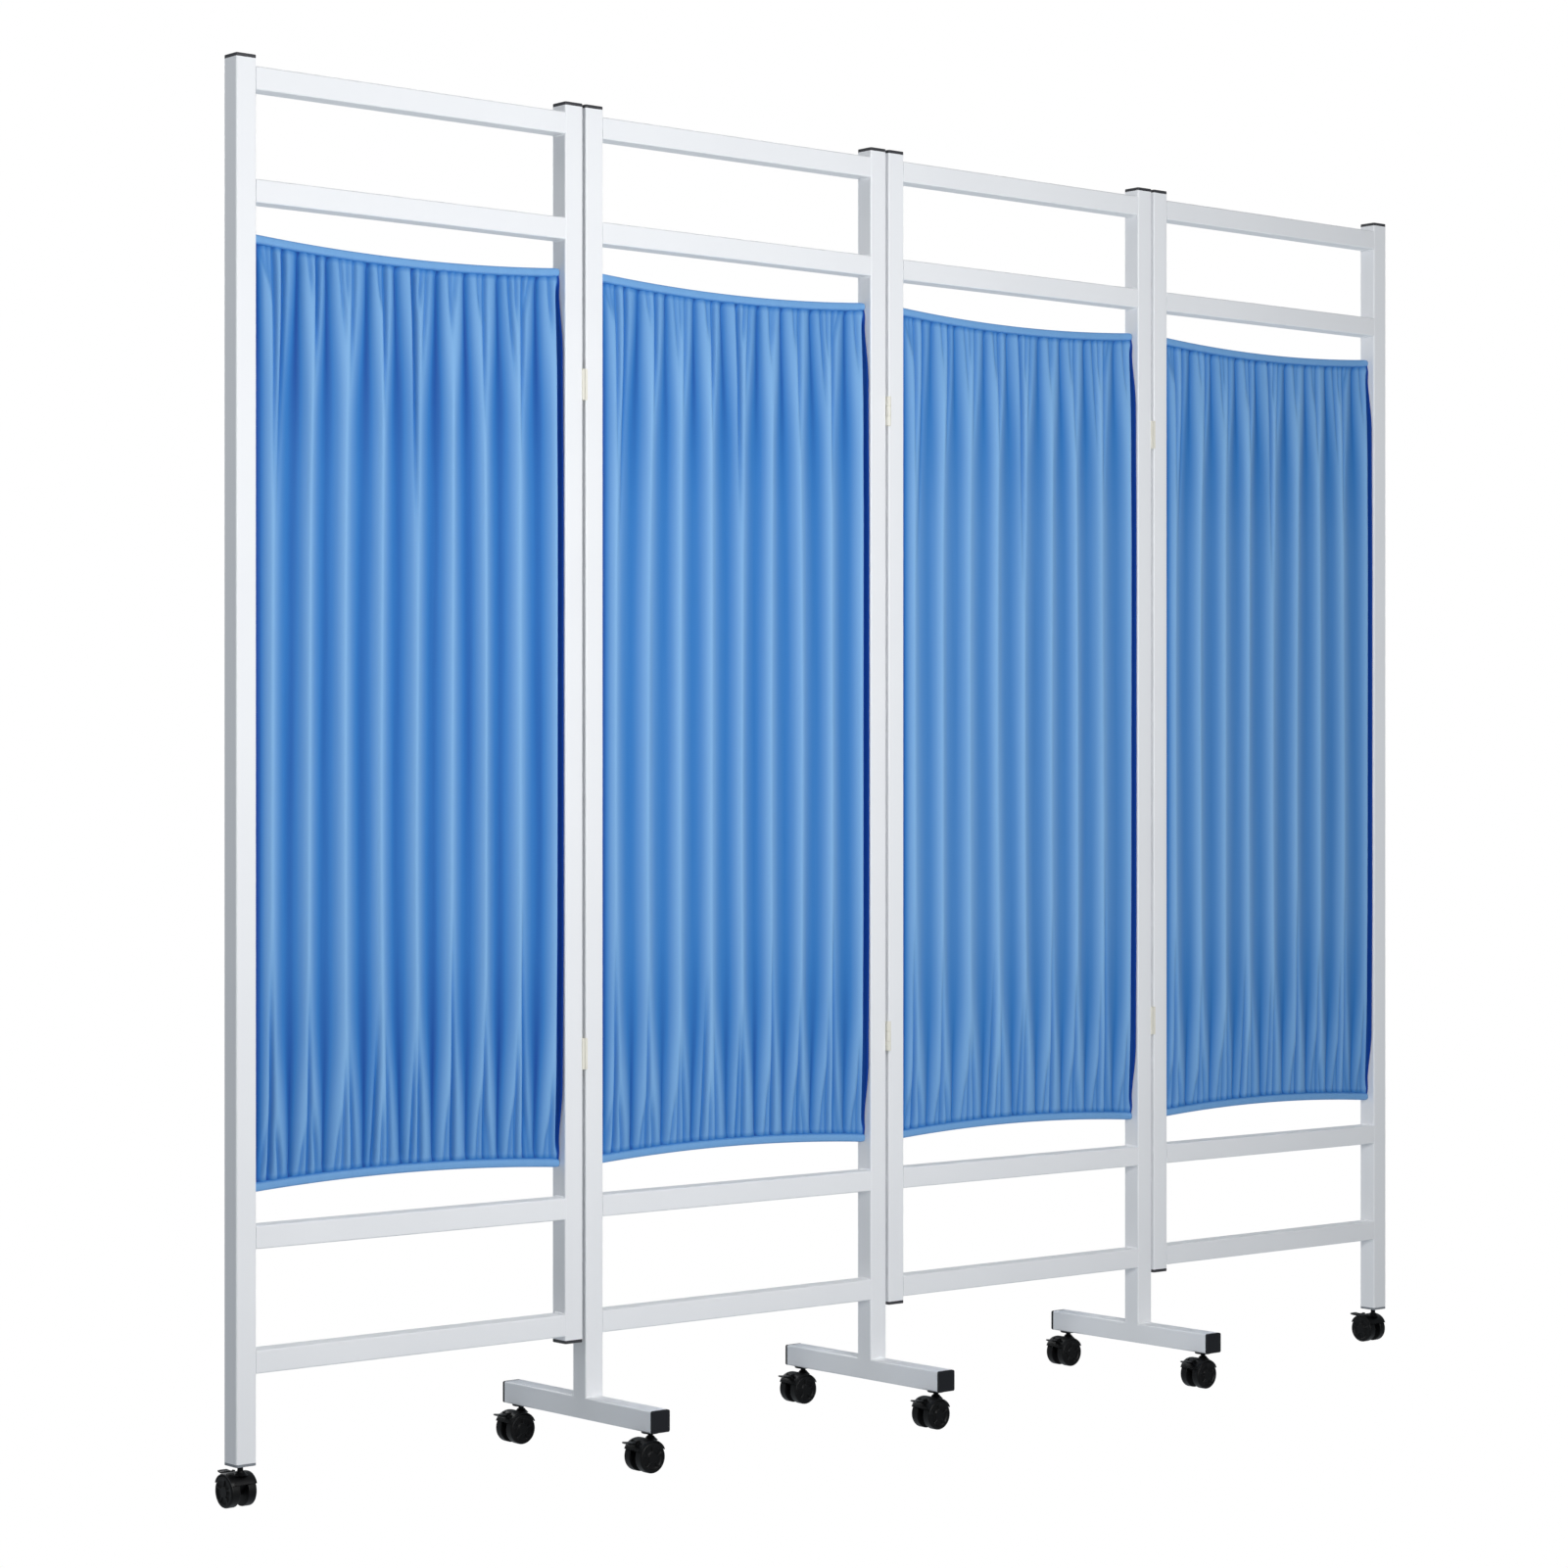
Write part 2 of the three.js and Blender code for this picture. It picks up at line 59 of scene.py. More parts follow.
def gridQuads(rows, columns, across):
    # a grid's faces, with across of them in a row: one to each column where the rows are loops
    row, column = np.meshgrid(np.arange(rows - 1), np.arange(across), indexing="ij")
    following = (column + 1) % columns
    corners = [row * columns + column, row * columns + following,
               (row + 1) * columns + following, (row + 1) * columns + column]
    return np.stack(corners, axis=-1).reshape(-1, 4)


def loopShell(rings):
    # rings[row, column] are points on closed loops, anticlockwise as seen from the last row
    rows, columns = rings.shape[:2]
    ends = [list(range(columns))[::-1], list(range((rows - 1) * columns, rows * columns))]
    return rings.reshape(-1, 3).astype(float), gridQuads(rows, columns, columns), ends


def stackShell(levels):
    # rounded rectangles (height, half across x, half across y, corner radius) joined one above another
    cornerSteps = 5
    index = np.arange(4 * (cornerSteps + 1))
    quarter = index // (cornerSteps + 1)
    turn = (quarter + (index % (cornerSteps + 1)) / cornerSteps) * np.pi / 2
    signX = np.array([1, -1, -1, 1])[quarter]
    signY = np.array([1, 1, -1, -1])[quarter]
    height, halfX, halfY, radius = (np.array(values, float)[:, None] for values in zip(*levels))
    x = signX * (halfX - radius) + radius * np.cos(turn)
    y = signY * (halfY - radius) + radius * np.sin(turn)
    return loopShell(np.stack([x, y, np.broadcast_to(height, x.shape)], axis=-1))


def squareShell(levels, corner):
    # squares (height, half width) with the same round corners, joined one above another
    return stackShell([(height, half, half, corner) for height, half in levels])


def boxShell(low, high, radius, edge):
    # a box with round upright edges, and small rounded edges at its top and bottom
    low, high = np.array(low, float), np.array(high, float)
    half = (high - low) / 2
    levels = []
    for side, angles in ((-1, np.linspace(0, np.pi / 2, 4)), (1, np.linspace(np.pi / 2, 0, 4))):
        for angle in angles:
            inset = edge * (1 - np.sin(angle))
            height = side * (half[2] - edge * (1 - np.cos(angle)))
            levels.append((height, half[0] - inset, half[1] - inset, radius - inset))
    return moved(stackShell(levels), (low + high) / 2)


def turnedShell(profile, steps=48):
    # a profile of (radius, height), from the lowest to the highest, turned round the z axis
    radius, height = (np.array(values, float)[:, None] for values in zip(*profile))
    turn = np.arange(steps) / steps * 2 * np.pi
    rings = [radius * np.cos(turn), radius * np.sin(turn), np.broadcast_to(height, (len(profile), steps))]
    return loopShell(np.stack(rings, axis=-1))


def barShell(radius, half, cut, bevel, steps):
    # a round bar along z. Each end is narrower by cut, over a length of bevel.
    return turnedShell([(radius - cut, -half), (radius, bevel - half),
                        (radius, half - bevel), (radius - cut, half)], steps)


def squared(wave, power):
    # a sine or cosine drawn out towards a square, with its sign kept
    return np.sign(wave) * np.abs(wave) ** power


def moved(shell, by=(0, 0, 0), turn=0.0):
    # turned about the z axis, then moved
    points, quads, ends = shell
    cosine, sine = np.cos(turn), np.sin(turn)
    turned = points @ np.array([[cosine, sine, 0], [-sine, cosine, 0], [0, 0, 1]])
    return turned + np.array(by, float), quads, ends


def laid(shell, axis):
    # what stood along z lies along x or y instead
    points, quads, ends = shell
    order = {"x": [2, 0, 1], "y": [1, 2, 0]}[axis]
    return points[:, order], quads, ends


def facedAbout(shell):
    # the same surface, with its faces turned to its other side
    points, quads, ends = shell
    return points, quads[:, ::-1], [end[::-1] for end in ends]


def flipped(shell, axis):
    # the mirror image across one axis, with its faces turned back outwards
    points, quads, ends = facedAbout(shell)
    sign = np.ones(3)
    sign[axis] = -1
    return points * sign, quads, ends


def newMesh(name, points, faces, material):
    # a smoothly shaded mesh from points in millimetres
    mesh = bpy.data.meshes.new(name)
    mesh.from_pydata((points * mm).tolist(), [], faces)
    mesh.polygons.foreach_set("use_smooth", np.ones(len(faces), bool))
    mesh.materials.append(material)
    return mesh


def newObject(name, data):
    piece = bpy.data.objects.new(name, data)
    bpy.context.scene.collection.objects.link(piece)
    return piece


def makePiece(name, shells, material, node, replaced=True, sharpAngle=32.0):
    # one object from shells, which rides with a CAD node's body and may stand for that node
    faces = []
    start = 0
    for points, quads, ends in shells:
        faces += (quads + start).tolist()
        faces += [[start + corner for corner in end] for end in ends]
        start += len(points)
    mesh = newMesh(name, np.concatenate([shell[0] for shell in shells]), faces, material)
    mesh.set_sharp_from_angle(angle=np.radians(sharpAngle))
    piece = newObject(name, mesh)
    # large faces keep their own normals, so that only the rounded edges between them shade softly
    piece.modifiers.new("flat_faces", "WEIGHTED_NORMAL").keep_sharp = True
    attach(piece, bodyOf[node])
    if replaced:
        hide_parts(node)
    return piece


def boxOf(node):
    # a CAD node's lowest and highest corners in millimetres
    low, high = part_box(node)
    return np.array(low) / mm, np.array(high) / mm


# Camera, lights and floor. The camera is level, and was fitted to the straight edges of the frames.

view = {"place": (-3.6463, -4.0623, 0.9191), "turn": -40.476,
        "lens": 85.27, "sensor": 36.0, "shift": 0.0022}


def makeCamera():
    camera = newObject("camera", bpy.data.cameras.new("camera"))
    camera.location = view["place"]
    camera.rotation_euler = (np.radians(90), 0, np.radians(view["turn"]))
    camera.data.lens = view["lens"]
    camera.data.sensor_width = view["sensor"]
    camera.data.shift_y = view["shift"]
    bpy.context.scene.camera = camera


studio = {
    # along each axis, the sky's strength at the negative end, and its strength from the last value on
    "sky": {"Z": (0.92, 0.36, 0.4), "Y": (0.3, 1.0, 0.2), "X": (0.72, 1.0, 0.2)},
    "skyTint": (0.87, 0.94, 1.0),
    # each lamp's place, aim and size in metres, and its power in watts
    "lamps": {
        "key": {"place": (-0.8, -2.7, 1.55), "aim": (-0.2, 0.0, 1.0), "size": 1.2, "power": 64},
        "side": {"place": (-3.4, 0.1, 3.6), "aim": (0.3, 0.0, 1.6), "size": 1.5, "power": 22},
        "back": {"place": (0.4, 6.0, 3.6), "aim": (0.0, 0.0, 0.9), "size": 3.0, "power": 110},
    },
    # the white room in millimetres: its radius, the foot and top of its wall, and its floor
    "roomRadius": 60000, "wallFoot": -3, "wallTop": 30000, "floor": -0.05, "steps": 96,
}


def areaLight(name, place, aim, size, power):
    lamp = bpy.data.lights.new(name, "AREA")
    lamp.shape = "SQUARE"
    lamp.size = size
    lamp.energy = power
    light = newObject(name, lamp)
    light.location = place
    towards = Vector(aim) - Vector(place)
    light.rotation_euler = towards.to_track_quat("-Z", "Y").to_euler()


def makeSky():
    # more light comes from below than from above, as over a white floor, and less from the front and
    # the left, as from dark walls
    world = bpy.data.worlds.new("studio")
    bpy.context.scene.world = world
    world.use_nodes = True
    tree = world.node_tree
    tree.nodes.clear()
    direction = addNode(tree, "ShaderNodeTexCoord")
    axes = addNode(tree, "ShaderNodeSeparateXYZ", {}, {"Vector": direction.outputs["Generated"]})
    sky = addNode(tree, "ShaderNodeBackground", {"Color": (*studio["skyTint"], 1)})
    fades = [addNode(tree, "ShaderNodeMapRange",
                     {"From Min": -1.0, "From Max": end, "To Min": first, "To Max": last},
                     {"Value": axes.outputs[axis]}).outputs["Result"]
             for axis, (first, last, end) in studio["sky"].items()]
    level = fades[0]
    for fade in fades[1:]:
        both = addNode(tree, "ShaderNodeMath", {}, {0: level, 1: fade}, operation="MULTIPLY")
        level = both.outputs["Value"]
    tree.links.new(level, sky.inputs["Strength"])
    addNode(tree, "ShaderNodeOutputWorld", {}, {"Surface": sky.outputs["Background"]})


def makeStudio():
    bpy.context.scene.view_settings.view_transform = "Standard"
    makeSky()
    for name, settings in studio["lamps"].items():
        areaLight(f"{name}_light", **settings)
    # a white floor and a white wall all round, which only the camera sees
    white = bpy.data.materials.new("white_studio")
    white.use_nodes = True
    white.node_tree.nodes.clear()
    glow = addNode(white.node_tree, "ShaderNodeEmission", {"Strength": 1.0})
    addNode(white.node_tree, "ShaderNodeOutputMaterial", {}, {"Surface": glow.outputs["Emission"]})
    radius, foot = studio["roomRadius"], studio["wallFoot"]
    points, _, ends = turnedShell([(radius, foot), (radius, studio["floor"])], studio["steps"])
    stages = [newObject("floor", newMesh("floor", points, ends[1:], white))]
    points, quads, _ = turnedShell([(radius, foot), (radius, studio["wallTop"])], studio["steps"])
    stages.append(newObject("backdrop", newMesh("backdrop", points, quads.tolist(), white)))
    for stage in stages:
        stage.visible_diffuse = False
        stage.visible_glossy = False
        stage.visible_transmission = False
        stage.visible_shadow = False


# Materials. Each pattern's size is in millimetres.

def linear(code):
    # an sRGB hex colour in linear light
    parts = np.array([int(code[i:i + 2], 16) for i in (1, 3, 5)]) / 255
    return (*np.where(parts <= 0.04045, parts / 12.92, ((parts + 0.055) / 1.055) ** 2.4), 1.0)


def noiseScale(size):
    # a noise of scale 1 has lumps about half a metre wide
    return 0.5 / (size * mm)


def addNode(tree, kind, settings=None, links=None, **properties):
    # one node, with its properties and socket values set and its inputs linked
    node = tree.nodes.new(kind)
    for name, value in properties.items():
        setattr(node, name, value)
    for name, value in (settings or {}).items():
        node.inputs[name].default_value = value
    for name, source in (links or {}).items():
        tree.links.new(source, node.inputs[name])
    return node


def newMaterial(name, settings):
    # a material with only its shader and output, and the piece's own coordinates in metres
    material = bpy.data.materials.new(name)
    material.use_nodes = True
    tree = material.node_tree
    tree.nodes.clear()
    shader = addNode(tree, "ShaderNodeBsdfPrincipled", settings)
    addNode(tree, "ShaderNodeOutputMaterial", {}, {"Surface": shader.outputs["BSDF"]})
    place = addNode(tree, "ShaderNodeTexCoord").outputs["Object"]
    return material, tree, shader, place


# two hard finishes: the noise of their clouds of colour and that of their fine grain, the grain's
# relief, and which noise the roughness follows. The coat's grain is its orange peel. A moulding's is
# its mould's, which is really about 0.1 mm wide, and is drawn coarser so that it shows.
powder = {"cloud": {"Scale": noiseScale(90.0), "Detail": 3.0},
          "grain": {"Scale": noiseScale(2.2), "Detail": 1.0},
          "relief": {"Strength": 0.4, "Distance": 0.03 * mm}, "glossFollows": "cloud"}
moulding = {"cloud": {"Scale": noiseScale(14.0)},
            "grain": {"Scale": noiseScale(0.6), "Detail": 3.0, "Roughness": 0.6},
            "relief": {"Strength": 0.5, "Distance": 0.03 * mm}, "glossFollows": "grain"}


def hardFinish(name, finish, low, high, smoothest, roughest, ior):
    # baked powder coat or moulded plastic: nearly one colour, from low to high, with a fine skin
    material, tree, shader, place = newMaterial(name, {"IOR": ior})
    noises = {part: addNode(tree, "ShaderNodeTexNoise", finish[part], {"Vector": place}).outputs["Fac"]
              for part in ("cloud", "grain")}
    tint = addNode(tree, "ShaderNodeMix", {"A": linear(low), "B": linear(high)},
                   {"Factor": noises["cloud"]}, data_type="RGBA")
    gloss = addNode(tree, "ShaderNodeMapRange", {"To Min": smoothest, "To Max": roughest},
                    {"Value": noises[finish["glossFollows"]]})
    skin = addNode(tree, "ShaderNodeBump", finish["relief"], {"Height": noises["grain"]})
    tree.links.new(tint.outputs["Result"], shader.inputs["Base Color"])
    tree.links.new(gloss.outputs["Result"], shader.inputs["Roughness"])
    tree.links.new(skin.outputs["Normal"], shader.inputs["Normal"])
    return material


# colours from the painted shade of the deepest folds to the painted highlight of the crests, the spacing
# and relief of the threads, the width and length of the streaks, and how much each adds to the tone; deep
# turns to blue by a tone of deepEnd
weave = {"deep": "#0A3C94", "blue": "#3479C1", "light": "#86B6E4", "bloom": "#CFE2F8", "deepEnd": 0.22,
         "thread": 1.0, "relief": {"Strength": 0.3, "Distance": 0.1 * mm}, "threadTone": 0.08,
         "streak": (6.0, 200.0), "streakTone": 0.12}


def curtainCloth():
    # plain woven polyester and cotton: matt threads with a pale bloom where they turn away, painted
    # deep blue shade in the folds and a painted pale highlight on their crests, with faint streaks down
    # the cloth.
    # The real threads are 0.3 mm apart, and are drawn coarser so that they show.
    material, tree, shader, place = newMaterial("blue_curtain_cloth", {
        "IOR": 1.25, "Roughness": 0.6, "Sheen Weight": 0.15, "Sheen Roughness": 0.4,
        "Sheen Tint": linear(weave["bloom"]),
    })
    flat = addNode(tree, "ShaderNodeUVMap", uv_map="cloth").outputs["UV"]
    scale = 0.314 / (weave["thread"] * mm)      # a wave of scale 1 has a band every 0.314 m
    threads = [addNode(tree, "ShaderNodeTexWave", {"Scale": scale, "Distortion": 1.2, "Detail Scale": 3.0},
                       {"Vector": flat}, bands_direction=way).outputs["Fac"] for way in ("X", "Y")]
    cross = addNode(tree, "ShaderNodeMath", {}, {0: threads[0], 1: threads[1]}, operation="MULTIPLY")
    wide, tall = weave["streak"]
    drawn = addNode(tree, "ShaderNodeVectorMath", {1: (1.0, 1.0, wide / tall)}, {0: place},
                    operation="MULTIPLY")
    slub = addNode(tree, "ShaderNodeTexNoise", {"Scale": noiseScale(wide), "Detail": 3.0},
                   {"Vector": drawn.outputs["Vector"]})
    # the crest attribute carries painted shade in the folds and a painted highlight on the crests
    crest = addNode(tree, "ShaderNodeAttribute", attribute_name="crest")
    # random streaks down the cloth, added to the painted fold shade and crest highlight
    streaksAndFoldShade = addNode(tree, "ShaderNodeMath", {1: weave["streakTone"]},
                   {0: slub.outputs["Fac"], 2: crest.outputs["Fac"]}, operation="MULTIPLY_ADD")
    shade = addNode(tree, "ShaderNodeMath", {1: weave["threadTone"], 2: -weave["threadTone"]},
                    {0: cross.outputs["Value"]}, operation="MULTIPLY_ADD")
    amount = addNode(tree, "ShaderNodeMath", {}, {0: streaksAndFoldShade.outputs["Value"], 1: shade.outputs["Value"]},
                     operation="ADD", use_clamp=True)
    low, high = (addNode(tree, "ShaderNodeMapRange", {"From Min": start, "From Max": end},
                         {"Value": amount.outputs["Value"]}).outputs["Result"]
                 for start, end in ((0.0, weave["deepEnd"]), (weave["deepEnd"], 1.0)))
    shaded = addNode(tree, "ShaderNodeMix", {"A": linear(weave["deep"]), "B": linear(weave["blue"])},
                     {"Factor": low}, data_type="RGBA")
    tint = addNode(tree, "ShaderNodeMix", {"B": linear(weave["light"])},
                   {"Factor": high, "A": shaded.outputs["Result"]}, data_type="RGBA")
    skin = addNode(tree, "ShaderNodeBump", weave["relief"], {"Height": cross.outputs["Value"]})
    tree.links.new(tint.outputs["Result"], shader.inputs["Base Color"])
    tree.links.new(skin.outputs["Normal"], shader.inputs["Normal"])
    return material


# The panels' frames: posts and rails of square tube, with a small weld in each inside corner

# half the tube's width, its corners' radius, a rail's seam at each end and the rails' undersides
tube = {"half": 15.0, "corner": 2.4, "seam": 0.4, "rails": (171.0, 330.0, 1665.5, 1809.5)}
# a bead's size, its ripples, how far it sinks into the tubes, and how fast and how far it thins out
weld = {"leg": 2.2, "ripple": 2.6, "rippleDepth": 0.1, "sunk": 0.4, "thinning": 4, "tip": 0.02,
        "steps": 34, "arcSteps": 7}
# what each post stands on, or holds in its foot, and how thick the plates of caps and inserts are
feet = {
    (1, "left"): "panel_1_stem_insert", (1, "right"): "panel_1_right_tail_cap",
    (2, "left"): "foot_bar_1", (2, "right"): "foot_bar_2",
    (3, "left"): "panel_3_left_tail_cap", (3, "right"): "foot_bar_3",
    (4, "left"): "panel_4_left_tail_cap", (4, "right"): "panel_4_stem_insert",
}
plates = {"cap": 5.0, "insert": 4.0}


def tubeShell(start, end):
    # a length of the tube, along z
    return squareShell([(start, tube["half"]), (end, tube["half"])], tube["corner"])


def weldShell(corner, along, legA, legB, length):
    # a rippled quarter-round bead along an inside corner, thinning out at both ends
    step = np.linspace(0, 1, weld["steps"])[:, None]
    angle = np.linspace(0, np.pi / 2, weld["arcSteps"])
    ripple = 1 + weld["rippleDepth"] * np.sin(2 * np.pi * step * length / weld["ripple"])
    thin = np.clip(weld["thinning"] * np.minimum(step, 1 - step), weld["tip"], 1) ** 0.5
    radius = weld["leg"] * ripple * thin
    corner, along, legA, legB = (np.array(v, float) for v in (corner, along, legA, legB))
    spine = corner + (step * length)[..., None] * along
    arc = radius[..., None] * (np.cos(angle)[:, None] * legA + np.sin(angle)[:, None] * legB)
    sunk = spine - weld["sunk"] * (legA + legB)
    shell = loopShell(np.concatenate([spine + arc, sunk], axis=1))
    outward = np.dot(np.cross(legA, legB), along) > 0
    return shell if outward else facedAbout(shell)


def postBottom(panel, side):
    # a post ends on its foot bar, or on the plate of the cap or insert in its foot
    node = feet[panel, side]
    low, high = boxOf(node)
    if node.startswith("foot_bar"):
        return high[2]
    return low[2] + plates["insert" if "insert" in node else "cap"]


def makeFrame(panel, material):
    node = f"panel_{panel}_frame"
    low, high = boxOf(node)
    half, corner = tube["half"], tube["corner"]
    middleY = (low[1] + high[1]) / 2
    beadLength = 2 * (half - corner)
    posts = {"left": low[0] + half, "right": high[0] - half}
    shells = []
    for side, x in posts.items():
        bottom = postBottom(panel, side)
        onBar = feet[panel, side].startswith("foot_bar")
        # a post on a foot bar fills the bar's rounded edges, as its ground weld does
        shells.append(moved(tubeShell(bottom - (corner if onBar else 0), high[2]), (x, middleY, 0)))
        if onBar:
            for front in (-1, 1):
                place = (x - half + corner, middleY + front * half, bottom)
                shells.append(weldShell(place, (1, 0, 0), (0, front, 0), (0, 0, 1), beadLength))
    start, end = posts["left"] + half, posts["right"] - half
    # a rail ends just inside its posts' sides, and so leaves a seam along their rounded edges
    for bottom in tube["rails"]:
        rail = laid(tubeShell(start - tube["seam"], end + tube["seam"]), "x")
        shells.append(moved(rail, (0, middleY, bottom + half)))
        for x, inwards in ((start, 1), (end, -1)):
            for height, up in ((bottom, -1), (bottom + 2 * half, 1)):
                place = (x, middleY - half + corner, height)
                shells.append(weldShell(place, (0, 1, 0), (inwards, 0, 0), (0, 0, up), beadLength))
    makePiece(f"panel_{panel}_welded_frame", shells, material, node)


# Caps and inserts in the tube ends: a plate with rounded edges, and a short spigot in the tube

cap = {
    # the plate's outer edge, how far its middle stands out and how far in, and its bevel on the tube
    "edge": 0.8, "crown": 0.35, "crownInset": 6.0, "bevel": 0.25,
    # the spigot's height and half width at its tip and inside the plate
    "spigot": ((-12.0, 12.5), (1.0, 13.1)), "spigotCorner": 1.0,
}


def capShells(tubeEnd, outside, thickness):
    # a plate, with a quarter round along its outer edge, and its spigot. outside is 1 for a cap on top
    # and -1 for one underneath.
    half, edge, bevel = tube["half"], cap["edge"], cap["bevel"]
    levels = [(0.0, half - bevel), (bevel, half)]
    levels += [(thickness - cap["crown"] - edge * (1 - np.sin(angle)), half - edge * (1 - np.cos(angle)))
               for angle in np.linspace(0, np.pi / 2, 5)]
    levels.append((thickness, half - cap["crownInset"]))
    shells = [squareShell(levels, tube["corner"]), squareShell(cap["spigot"], cap["spigotCorner"])]
    if outside < 0:
        shells = [flipped(shell, 2) for shell in shells]
    return [moved(shell, (0, 0, tubeEnd)) for shell in shells]


def makeCap(node, thickness, outside, material):
    low, high = boxOf(node)
    middle = (low + high) / 2
    end = high[2] - thickness if outside > 0 else low[2] + thickness
    shells = [moved(shell, (middle[0], middle[1], 0)) for shell in capShells(end, outside, thickness)]
    makePiece(f"{node}_moulding", shells, material, node)


# The foot bars, their end plugs, and the collars round the caster stems. A collar's lower edge is
# rounded, with the middle of its round set back by edgeHalfway.

footBar = {"plug": 5.0, "collarRadius": 12.5, "collar": 3.0, "edge": 1.2, "edgeHalfway": 0.35}


def makeFootBar(number, steel, black):
    node = f"foot_bar_{number}"
    low, high = boxOf(node)
    x = (low[0] + high[0]) / 2
    height = high[2] - tube["half"]
    start, end = low[1] + footBar["plug"], high[1] - footBar["plug"]
    bar = moved(laid(tubeShell(start, end), "y"), (x, 0, height))
    makePiece(f"{node}_tube", [bar], steel, node)
    # each plug is a cap on its side, whose plate closes the tube
    plugs = [moved(laid(shell, "y"), (x, place, height)) for side, place in ((1, end), (-1, start))
             for shell in capShells(0, side, footBar["plug"])]
    makePiece(f"{node}_end_plugs", plugs, black, node, replaced=False)
    radius, edge, halfway = footBar["collarRadius"], footBar["edge"], footBar["edgeHalfway"]
    collar = turnedShell([(radius - edge, 0), (radius - halfway, halfway), (radius, edge),
                          (radius, footBar["collar"])])
    collars = [moved(collar, (caster["x"], caster["y"], low[2]))
               for caster in casters() if caster["bar"] == number]
    makePiece(f"{node}_collars", collars, black, node, replaced=False)


# The casters. Each is worked out standing on the floor, with its stem on the z axis and its axle
# behind it on the -x side, and then turned to its place.

wheel = {
    # one wheel from its inner side, with the rounding of its tread's outer and inner edges
    "radius": 21.0, "inner": 6.0, "width": 13.0, "edge": 2.6, "innerEdge": 1.2,
    # its disc lies dished between the rim and the flat hub, with ribs that rise most of the way
    "rim": 2.2, "hub": 6.0, "hubRim": 1.0, "hubFace": 5.2, "middle": 0.6, "dish": 2.0,
    "ribs": 5, "ribRise": 0.75, "ribStart": 0.86, "ribSlope": 0.1,
}
axle = {"radius": 3.0, "half": 16.5, "cut": 1.0, "bevel": 0.5, "steps": 32}
# the shoulder, where the guard falls away at its sides, starts at a share of its half width, and its
# inside is a little narrower
hood = {"radius": 24.0, "inner": 22.3, "half": 19.0, "innerShare": 0.985, "openAngle": 26.0,
        "shoulder": 1.05, "shoulderStart": 0.72, "lip": 0.6, "lipAngle": 0.35}
# the plate between the wheels: under the hood an arc, and below it a boss round the axle
web = {"radius": 22.9, "startAngle": 150, "endAngle": 30, "half": 5.5, "edge": 0.4, "edgeShare": 0.97,
       "below": ((7.0, 0.5), (5.0, -5.0), (0.0, -7.0), (-5.0, -5.0), (-7.0, 0.5))}
stem = {
    # the boss that flares out of the hood, as radius and height
    "boss": ((10.0, 42.0), (8.2, 43.6), (6.8, 45.0), (5.6, 46.4), (5.4, 47.0), (4.6, 47.4)),
    # the stem, with a groove round it under the foot bar
    "radius": 3.75, "foot": 40.0, "top": 73.0, "bevel": 1.0,
    "groove": (51.6, 52.0, 52.8, 53.2), "grooveDepth": 0.5,
}
# the two ears that hold the pedal's pin, one each side of its arm
ear = {"gap": 0.4, "width": 2.0, "half": 2.6, "bottom": 37.5, "above": 2.4, "corner": 0.6, "edge": 0.5}
pin = {"radius": 1.0, "reach": 2.4, "cut": 0.1, "bevel": 0.2}
pedal = {
    # how far its tip and its pin are behind the axle, the pin's height, and the eye's radius
    "reach": 34.0, "pivotReach": 15.0, "pivotHeight": 42.2, "eye": 2.0, "eyeBevel": 0.4,
    # the arm, from inside the blade to past the pin, with its top and bottom from the pin's height
    "arm": 9.0, "inBlade": 1.0, "pastPin": 0.5, "armTop": 0.4, "armBottom": 2.6,
    "armCorner": 0.5, "armEdge": 0.4,
    # the blade starts below the pin's height, narrows towards its tip, and curls up there
    "length": 14.0, "width": 16.0, "thickness": 3.0, "below": 1.3, "rise": 1.4, "narrowing": 0.12,
}


def casters():
    # each caster's place and turn, from its joints: the axle's place from the stem gives the trail
    found = []
    for number in range(1, 9):
        x, y, _ = np.array(joints[f"caster_{number}_swivel"]["pos_m"]) / mm
        hub = np.array(joints[f"caster_{number}_roll"]["pos_m"]) / mm
        trail = np.hypot(hub[0] - x, hub[1] - y)
        turn = np.arctan2(hub[1] - y, hub[0] - x) - np.pi
        bar = 0 if number in (1, 8) else number // 2
        found.append({"number": number, "x": x, "y": y, "trail": trail, "turn": turn, "bar": bar})
    return found


def placed(shells, caster):
    return [moved(shell, (caster["x"], caster["y"], 0), caster["turn"]) for shell in shells]


